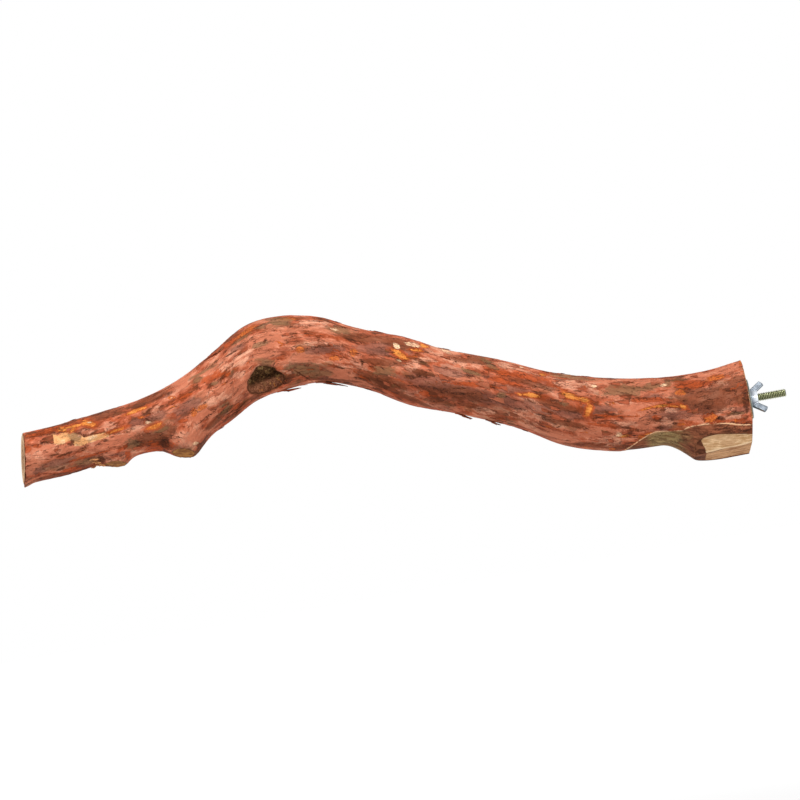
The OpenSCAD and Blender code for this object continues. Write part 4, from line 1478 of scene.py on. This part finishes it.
def barkMarks(f, base):
    # the marks that the photograph shows, with ragged and soft edges; also their outlines, which carry
    # painted shade along the plates' edges, and their depth
    c, small, fine = barkColours, f.small, f.fine
    ragged = (small - 0.5) * 2.6 + (fine - 0.5) * 1.3 + (f.streak - 0.5) * 0.6
    outline = 0

    def marked(kind, amount, colour, low=-0.34, high=0.14, rough=1.0):
        # the mask is soft, and its half-way line is kept as the outline of a plate
        nonlocal outline
        mask = f.step(f.value(kind) + ragged * rough, low, high)
        outline = mask * (1 - mask) + outline
        return f.blend(mask * amount, base, colour)

    base = marked("salmon", 0.85, f.blend(f.step(small, 0.54, 0.74) * 0.7, c["salmon"], c["pale"]))
    base = marked("mauve", 0.72, c["mauve"])
    base = marked("brown", 0.78, c["brown"])
    base = marked("rust", 0.80, c["rust"])
    base = marked("ember", 0.85, f.blend(f.step(fine, 0.46, 0.60), c["ember"], c["orange"]), -0.20, 0.14, 0.7)
    base = marked("peach", 0.92, f.blend(f.step(small, 0.52, 0.68) * 0.7, c["peach"], c["cream"]),
                  -0.06, 0.14, 0.45)
    base = marked("moss", 0.74, f.blend(f.step(small + f.middling, 0.84, 1.16), c["lichen"], c["olive"]),
                  -0.46, 0.26, 1.3)
    # pale plates, and a painted highlight on the arch's top
    base = marked("pale", 0.66, f.blend(f.step(small + f.streak, 0.86, 1.12), c["salmon"], c["pale"]),
                  -0.50, 0.30)
    # dark marks: cracks and dark bark, and painted shade in a crevice and a shadowed patch
    base = marked("dark", 0.86, f.blend(f.step(fine, 0.45, 0.62), c["dark"], c["brown"]), -0.14, 0.24)

    # fresh orange bark has a rust halo and a brighter core, and is scattered elsewhere too
    scattered = f.patches((41, 13, 7), 0.19, 4.0)
    halo = f.step(f.value("fresh") + ragged * 0.9, -0.90, -0.10) + f.step(scattered, 0.66, 0.70)
    base = f.blend(halo * 0.75, base, c["rust"])
    fresh = f.step(f.value("fresh") + ragged * 0.8, -0.12, 0.20) + f.step(scattered, 0.70, 0.74)
    core = f.step(f.value("fresh") + ragged * 1.4, 0.20, 0.70)
    base = f.blend(fresh * 0.88, base, f.blend(core, c["orange"], c["amber"]))
    chip = f.step(f.value("chip") + ragged * 0.8, -0.10, 0.30)
    base = f.blend(chip * 0.85, base, f.blend(f.step(fine, 0.40, 0.60), c["pale"], c["cream"]))
    outline = chip * (1 - chip) + (fresh * (1 - fresh) * 0.7 + outline)
    return base, outline, fresh * 0.15 + chip * 0.2


def barkTorn(f, base):
    # painted shade darkens the side that faces down; under the lip the bark is torn into fibres, whose dark
    # colour is partly painted shade under the lip, mossy away from the saw cut, and the lip has a pale broken
    # edge
    c, torn, small = barkColours, f.value("torn"), f.small
    # painted shade: the bark is darker towards the bottom
    below = f.step(f.part(f.grain, "Z") + (f.middling - 0.5) * 30, 6, -22)
    base = f.blend(below * 0.30, base, f.blend(1.0, base, c["undersideShade"], "MULTIPLY"))
    # the torn fibres' colours, partly painted shade under the lip
    colour = f.blend(f.step(f.streak, 0.34, 0.64), c["tornFibreShade"], c["tornLight"])
    along = f.part(f.grain, "X")
    mossy = f.step(along + (small - 0.5) * 20, 48, 60) * f.step(along, 84, 76)
    moss = f.blend(f.step(small, 0.40, 0.60), c["mossDark"], c["mossLight"])
    colour = f.blend(mossy * 0.9, colour, moss)
    base = f.blend(f.step(torn + (small - 0.5) * 1.2, -0.1, 0.3) * 0.86, base, colour)
    lip = f.step(abs(torn + 0.3 + (f.fine - 0.5) * 0.7 + (small - 0.5) * 1.0), 0.75, 0.35)
    return f.blend(lip * f.step(small, 0.38, 0.48) * 0.85, base, c["lip"])


def barkCracks(f, level):
    # thin dark lines along the branch, in patches, and along the edges of the old layers
    cracks = f.step(abs(level - 2.15), 0.07, 0.015) * f.step(f.patches((23, 3, 41), 0.2), 0.48, 0.58)
    for shift, stretch, scale in (((3, 9, 27), 0.10, 0.15), ((61, 2, 8), 0.16, 0.27)):
        line = f.noise(f.moved(f.scaled(f.bent, (stretch, 1.0, 1.0)), shift), scale)
        mask = f.step(f.patches((shift[2], shift[0], shift[1]), 0.17), 0.50, 0.58)
        cracks = f.step(abs(line - 0.5), 0.014, 0.003) * mask + cracks
    return cracks


def paintBark():
    # the ground colours, the layers, the marks, the torn part, then fibres, painted shade along the plates'
    # outlines and cracks over all of them
    f = BarkFinish("flakyBark")
    small, fine, streak = f.small, f.fine, f.streak
    level = f.value("peel") + (small - 0.5) * 1.1 + (fine - 0.5) * 0.35
    base, raised = barkLayers(f, barkGround(f), level)
    base, outline, worn = barkMarks(f, base)
    base = barkTorn(f, base)

    # the fibres are faint where the salmon bark is smooth
    calm = 1 - f.step(f.value("salmon") + (f.middling - 0.5) * 1.2, -0.4, 0.3) * 0.6
    shade = 1.06 + ((streak - 0.5) * 0.6 + (fine - 0.5) * 0.9 + (small - 0.5) * 1.1) * calm
    # painted shade: a dark line along the plates' outlines, where their edges throw small shadows
    shade = shade - outline * f.step(f.patches((9, 5, 53), 0.22), 0.44, 0.56) * calm * 1.4
    cracks = barkCracks(f, level)
    base = f.blend(cracks * 0.72, f.shaded(base, shade), barkColours["dark"])
    base = f.blend(f.step(f.value("cutEdge"), 0.2, 0.8), base, barkColours["cutEdge"])
    height = small * 0.55 + streak * 0.35 + fine * 0.35 + f.middling * 0.8 + raised
    height = height - cracks * 0.45 - worn - outline * 0.6
    roughness = 0.70 + (small - 0.5) * 0.3 + (streak - 0.5) * 0.2
    return f.finished(base, roughness, height, 0.9, dryWood)


def paintLooseBark():
    # brown sheets with a few salmon ones, darker underneath as painted shade, and the narrowest as pale
    # fibres
    f = Finish("looseBark")
    c = barkColours
    grain = f.vector("grain")
    flow = f.scaled(f.warped(grain, 0.2, 2.0), (0.3, 1.0, 1.0))
    small = f.noise(flow, 0.4, 5.0, 0.65)
    fine = f.noise(f.moved(grain, (17, 3, 9)), 1.3, 4.0, 0.6)
    streak = f.noise(f.scaled(grain, (0.1, 1.0, 1.0)), 1.2, 4.0, 0.6)
    shade = f.value("shade")
    base = f.blend(f.step(small + shade * 0.3, 0.45, 0.85), c["mid"], c["brown"])
    base = f.blend(f.step(small, 0.55, 0.66) * 0.6, base, c["olive"])
    base = f.blend(f.step(shade, 0.65, 0.81) * 0.7, base, c["salmon"])
    base = f.blend(f.step(shade, 0.92, 0.98) * 0.8, base, c["peach"])
    # painted shade on the sheets' undersides
    base = f.blend(f.value("underside") * 0.35, base, c["brown"])
    base = f.shaded(base, 0.55 + streak * 0.8)
    return f.finished(base, 0.75, fine * 0.2 + streak * 0.25, 0.8, dryWood)


woodColours = {
    "sap": (0.90, 0.60, 0.36),
    "ring": (0.55, 0.30, 0.14),
    "heart": (0.50, 0.235, 0.115),
    "splitLight": (0.90, 0.62, 0.36),
    "splitDark": (0.56, 0.31, 0.14),
    # darker copies of the split wood for the lower slice: painted shade on a face that turns down
    "belowShadedLight": (0.66, 0.37, 0.19),
    "belowShadedDark": (0.34, 0.155, 0.065),
    "twigFace": (0.40, 0.170, 0.045),
    "twigDark": (0.20, 0.072, 0.020),
    "twigFleck": (0.62, 0.34, 0.13),
    "check": (0.12, 0.045, 0.018),     # fine splits in the end grain, and the layer under the bark
    "cambium": (0.50, 0.22, 0.10),
    "splitWarm": (0.50, 0.26, 0.12),
    "splitLine": (0.20, 0.085, 0.03),
    "ledge": (0.86, 0.62, 0.38),
    "ledgeShade": (0.13, 0.05, 0.02),
    "shelfDark": (0.15, 0.048, 0.022),
    "shelfLight": (0.42, 0.165, 0.085),
    # the pocket's colours, whose darkness is partly painted shade in the recess
    "rotDark": (0.060, 0.026, 0.011),
    "rotLight": (0.22, 0.105, 0.042),
    "rotPale": (0.46, 0.27, 0.11),
}


def paintEndGrain(name, centreY, centreZ, sawTilt):
    # growth rings round the pith, rays, saw marks and a reddish heart
    f = Finish(name)
    c = woodColours
    place = f.place()
    flat = f.scaled(f.moved(place, (0, -centreY, -centreZ)), (0, 1, 1))
    radius = f.length(f.warped(flat, 0.09, 3.2))
    rings = f.add("ShaderNodeMath", {"operation": "SINE"}, {0: radius * 2.6 + f.noise(flat, 0.05, 2.0) * 9})
    late = f.step(rings, 0.15, 0.95)
    fine = f.noise(place, 1.6, 4.0, 0.6)
    saw = f.noise(f.scaled(f.warped(place, 0.05, 1.5), sawTilt), 0.9, 3.0, 0.6)
    outwards = f.vectorMaths("NORMALIZE", {0: flat})
    rays = f.noise(f.scaled(outwards, (5, 5, 5)), 1.6, 4.0, 0.6)
    base = f.blend(f.step(radius + (rays - 0.5) * 10, 16, 5) * 0.85, c["sap"], c["heart"])
    base = f.blend(late * 0.62, base, c["ring"])
    base = f.blend(f.step(rays, 0.52, 0.66) * 0.3, base, c["ring"])
    checks = f.step(abs(rays - 0.5), 0.016, 0.004) * f.step(radius, 16, 9)
    base = f.blend(checks * 0.8, base, c["check"])
    base = f.blend(f.step(radius, 23.5, 25.5) * 0.35, base, c["cambium"])
    base = f.shaded(base, 0.72 + saw * 0.32 + fine * 0.26)
    return f.finished(base, 0.78, saw * 0.35 + fine * 0.15 - late * 0.08 - checks * 0.5, 0.8, dryWood)


def paintSplitWood(name, light, dark):
    # long fibres, a bright splintered ledge between the two slices and painted shadow as a dark line under it
    f = Finish(name)
    c = woodColours
    grain, ledge = f.vector("grain"), f.value("ledge")
    fibres = f.scaled(f.warped(grain, 0.10, 2.4), (0.10, 1.0, 1.0))
    streak = f.noise(fibres, 0.75, 5.0, 0.65)
    broad = f.noise(f.scaled(grain, (0.3, 1.0, 1.0)), 0.22, 3.0)
    fine = f.noise(f.scaled(grain, (0.35, 1.0, 1.0)), 2.4, 4.0, 0.6)
    base = f.blend(f.step(streak + (broad - 0.5) * 0.3, 0.60, 0.42), light, dark)
    base = f.blend(f.step(broad, 0.50, 0.62) * 0.6, base, c["splitWarm"])
    base = f.blend(f.step(streak, 0.36, 0.28) * 0.7, base, c["splitLine"])
    off = ledge + (streak - 0.5) * 1.2
    base = f.blend(f.step(abs(off - 0.5), 0.8, 0.3) * 0.8, base, c["ledge"])
    # painted shadow under the ledge
    base = f.blend(f.step(abs(off + 0.9), 0.8, 0.3) * f.step(broad, 0.40, 0.56) * 0.8, base, c["ledgeShade"])
    base = f.shaded(base, 0.74 + fine * 0.52)
    # bark that clings to the wood, its dark colour partly painted shade
    bark = f.blend(f.step(streak, 0.40, 0.62), barkColours["tornFibreShade"], barkColours["tornLight"])
    clinging = f.step(f.value("clinging") + (streak - 0.5) * 2.4 + (fine - 0.5) * 1.2, -0.3, 0.3)
    base = f.blend(clinging, base, bark)
    return f.finished(base, 0.75, streak * 0.55 + fine * 0.2, 0.9, dryWood)


def paintTwigFace():
    # weathered saw cuts with a few lighter flecks
    f = Finish("twigFace")
    c = woodColours
    place = f.place()
    coarse = f.noise(f.scaled(place, (0.5, 1.0, 1.0)), 0.3, 4.0, 0.6)
    fine = f.noise(place, 1.5, 4.0, 0.6)
    base = f.blend(f.step(coarse, 0.58, 0.42), c["twigFace"], c["twigDark"])
    base = f.blend(f.step(fine, 0.58, 0.7) * 0.5, base, c["twigFleck"])
    return f.finished(base, 0.8, fine * 0.3 + coarse * 0.4, 0.8, dryWood)


def paintHollow():
    # brown rot in the pocket, darker the deeper it lies and under the arch, which is partly painted shade,
    # and reddish on the shelf below it
    f = Finish("hollowWood")
    c = woodColours
    place = f.place()
    fine = f.noise(place, 0.9, 4.0, 0.65)
    coarse = f.noise(place, 0.3, 3.0, 0.6)
    depth = f.value("hollowDepth") + (coarse - 0.5) * 7 + (fine - 0.5) * 4
    shelf = f.blend(f.step(fine, 0.38, 0.62), c["shelfDark"], c["shelfLight"])
    shelf = f.blend(f.step(coarse, 0.58, 0.64) * 0.8, shelf, barkColours["orange"])
    deepRotAndShade = f.blend(f.step(fine, 0.42, 0.64), c["rotDark"], c["rotLight"])
    deepRotAndShade = f.blend(f.step(coarse, 0.56, 0.64) * 0.85, deepRotAndShade, c["rotPale"])
    # painted shade, along with the rot: the deeper the place, the more it takes the pocket's dark colours
    base = f.blend(f.step(depth, 1.6, 6.6), shelf, deepRotAndShade)
    return f.finished(base, 0.9, fine * 0.8 + coarse * 1.2, 1.0, dryWood)


# colour, tint of its clouds, grime, which also gives the painted shade in a thread's groove, and roughness
metals = {
    "yellowZinc": ((0.42, 0.44, 0.26), (0.55, 0.56, 0.35), (0.16, 0.17, 0.10), 0.28),
    "washerZinc": ((0.26, 0.30, 0.29), (0.36, 0.39, 0.38), (0.12, 0.14, 0.13), 0.42),
    "nutZinc": ((0.180, 0.205, 0.235), (0.29, 0.325, 0.365), (0.085, 0.097, 0.118), 0.33),
}
# painted highlight on the nut's hub
hubHighlight = (0.80, 0.84, 0.90)


def paintMetal(name, groove=None, hubRadius=None):
    # clouded plating with fine scratches; a thread has painted shade in its groove, given by its root's and
    # its crest's distance from the axis, and a nut's hub has a painted highlight
    f = Finish(name)
    colour, tint, grimeAndShade, roughness = metals[name]
    place = f.place()
    cloud = f.noise(place, 0.35, 3.0, 0.5)
    scratch = f.noise(f.scaled(place, (0.15, 1.0, 1.0)), 2.5, 4.0, 0.6)
    grain = f.noise(place, 5.0, 3.0, 0.5)
    base = f.blend(f.step(cloud, 0.40, 0.62) * 0.7, colour, tint)
    base = f.blend(f.step(grain, 0.60, 0.75) * (0.15 if groove else 0.5), base, grimeAndShade)
    fromAxis = f.length(f.scaled(place, (0, 1, 1)))
    if groove:
        root, crest = groove
        # painted shade in the thread's groove
        base = f.blend(f.step(fromAxis, crest, root), base, grimeAndShade)
    if hubRadius:
        # painted highlight: the hub is made nearly white
        base = f.blend(f.step(fromAxis, hubRadius * 1.15, hubRadius) * 0.9, base, hubHighlight)
    rough = roughness + (cloud - 0.5) * 0.16 + (scratch - 0.5) * 0.14
    return f.finished(base, rough, scratch * 0.03 + grain * 0.015, 0.5, {"Metallic": 1.0})


def dress(piece, body, nodes, slot, *materials):
    # what a piece is made of, the body it rides on and the frame's nodes that it stands for
    piece.data.materials.clear()
    for material in materials:
        piece.data.materials.append(material)
    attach(piece, body)
    if nodes:
        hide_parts(*nodes)


print("making the loose bark")
barkStrips, barkFlakes = makeLooseBark()
print("making the bolt, the washers and the nut")
bolt = makeBolt()
innerWasher = makeWasher("innerWasher", "inner_washer")
outerWasher = makeWasher("outerWasher", "outer_washer")
wingNut = makeNut()

print("painting")
looseFinish = paintLooseBark()
twigFinish = paintTwigFace()
# the lower slice's finish is a darker copy of the split wood, painted shade on a face that turns down; the
# hidden skin under the bark uses it too
shadedBelowFinish = paintSplitWood("splitWoodBelowShaded", woodColours["belowShadedLight"], woodColours["belowShadedDark"])
freeMiddle = stemLine(np.array([1.0]))[0]
woodFinishes = {
    "skin": shadedBelowFinish,
    "slice": paintSplitWood("splitWood", woodColours["splitLight"], woodColours["splitDark"]),
    "sliceBelow": shadedBelowFinish,
    "twig": twigFinish,
    "secondTwig": twigFinish,
    "hollow": paintHollow(),
    "clampedEnd": paintEndGrain("clampedEndGrain", 0.0, 1.4, (1.0, 1.0, 0.12)),
    "freeEnd": paintEndGrain("freeEndGrain", freeMiddle[1], freeMiddle[2], (1.0, 0.12, 1.0)),
}
groove = [boltLook["radius"] - boltLook["depth"] * share for share in (0.8, 0.2)]
washerZinc = paintMetal("washerZinc")
dress(bark, "perch", ["bark"], "bark", paintBark())
dress(wood, "perch", ["wood_core"], "bare_wood", *[woodFinishes[region] for region in woodRegions])
wood.data.polygons.foreach_set("material_index", woodRegion.astype(np.int32))
dress(barkStrips, "perch", ["bark_strips"], "loose_bark", looseFinish)
dress(barkFlakes, "perch", [], "loose_bark", looseFinish)
dress(bolt, "perch", ["hanger_bolt"], "yellow_zinc", paintMetal("yellowZinc", groove))
dress(innerWasher, "perch", ["inner_washer"], "washer_zinc", washerZinc)
dress(outerWasher, "outer_washer", ["outer_washer"], "washer_zinc", washerZinc)
dress(wingNut, "wing_nut", ["wing_nut"], "nut_zinc", paintMetal("nutZinc", hubRadius=nutLook["hubEndRadius"]))


# The room: a pale floor well below the perch, a white surround and soft lamps
room = {
    "floorDrop": 0.40,
    "floorSize": 12.0,
    "floorColour": (0.90, 0.90, 0.90),
    "surround": 0.30,
    "lampSize": 0.8,
    # where each lamp stands from the perch's middle, in metres, and its power
    "lamps": {"keyLamp": ((-0.4, -1.1, 2.0), 53), "fillLamp": ((1.4, -1.5, 0.6), 10)},
    # the floor's own light to the camera: less near the perch, where the lamps already make it white
    "glow": 2.42,
    "nearGlow": 1.20,
    "glowReach": (0.45, 1.55),
    "glowShare": 0.35,
}


def seenDirectly(f):
    # 1 for what the camera sees, straight, in a shiny surface or through a clear one
    direct, shiny, through = (f.add("ShaderNodeLightPath", output=f"Is {ray} Ray")
                              for ray in ("Camera", "Glossy", "Transmission"))
    return direct + shiny + through


def makeFloor(centre):
    # a square whose own light keeps it white to the camera, while the perch's shadow still falls on it
    floorZ = (centre.z - room["floorDrop"]) / metre
    corner = room["floorSize"] / 2 / metre
    points = np.array([[-corner, -corner, floorZ], [corner, -corner, floorZ],
                       [corner, corner, floorZ], [-corner, corner, floorZ]])
    floor = makePiece("floor", points, [np.array([[0, 1, 2, 3]])])
    f = Finish("paleFloor")
    matte = f.add("ShaderNodeBsdfDiffuse", None, {"Color": (*room["floorColour"], 1.0)})
    place = f.add("ShaderNodeTexCoord", output="Object")
    fromMiddle = f.vectorMaths("DISTANCE", {0: place, 1: centre}, "Value")
    near, far = room["glowReach"]
    strength = f.step(fromMiddle, near, far) * (room["glow"] - room["nearGlow"]) + room["nearGlow"]
    glow = f.add("ShaderNodeEmission", None, {"Color": (1, 1, 1, 1), "Strength": strength})
    f.shown(f.add("ShaderNodeMixShader", None, {0: seenDirectly(f) * room["glowShare"], 1: matte, 2: glow}))
    floor.data.materials.append(f.block)


def makeSurround():
    # white to the camera, and a softer light on the perch
    f = Finish("surround", bpy.data.worlds)
    soft, white = (f.add("ShaderNodeBackground", None, {"Color": (1, 1, 1, 1), "Strength": strength})
                   for strength in (room["surround"], 1.0))
    mixed = f.add("ShaderNodeMixShader", None, {0: seenDirectly(f), 1: soft, 2: white})
    f.shown(mixed, "ShaderNodeOutputWorld")
    bpy.context.scene.world = f.block


def makeLamp(name, place, power, centre):
    lamp = bpy.data.lights.new(name, "AREA")
    lamp.energy, lamp.size = power, room["lampSize"]
    holder = bpy.data.objects.new(name, lamp)
    bpy.context.scene.collection.objects.link(holder)
    holder.location = place
    holder.rotation_mode = "QUATERNION"
    holder.rotation_quaternion = (centre - holder.location).to_track_quat("-Z", "Y")


def makeCamera():
    # rolled so that the picture's right side leans down
    right, top, away = cameraAxes()
    place = pictureCentre() - camera["distance"] * away
    lens = bpy.data.cameras.new("camera")
    lens.sensor_width = camera["sensor"]
    lens.lens = camera["sensor"] * camera["distance"] / (camera["pixel"] * camera["frameSize"])
    lens.clip_end = camera["farthest"]
    holder = bpy.data.objects.new("camera", lens)
    bpy.context.scene.collection.objects.link(holder)
    columns = np.stack([right, top, -away, place * metre], -1)
    holder.matrix_world = Matrix([*columns.tolist(), (0, 0, 0, 1)])
    bpy.context.scene.camera = holder


print("setting the room and the camera")
middle = (cadBox[0] + cadBox[1]) / 2
makeFloor(middle)
makeSurround()
for name, (offset, power) in room["lamps"].items():
    makeLamp(name, [middle[k] + offset[k] for k in range(3)], power, middle)
makeCamera()
bpy.context.scene.view_settings.view_transform = "Standard"
bpy.context.view_layer.update()
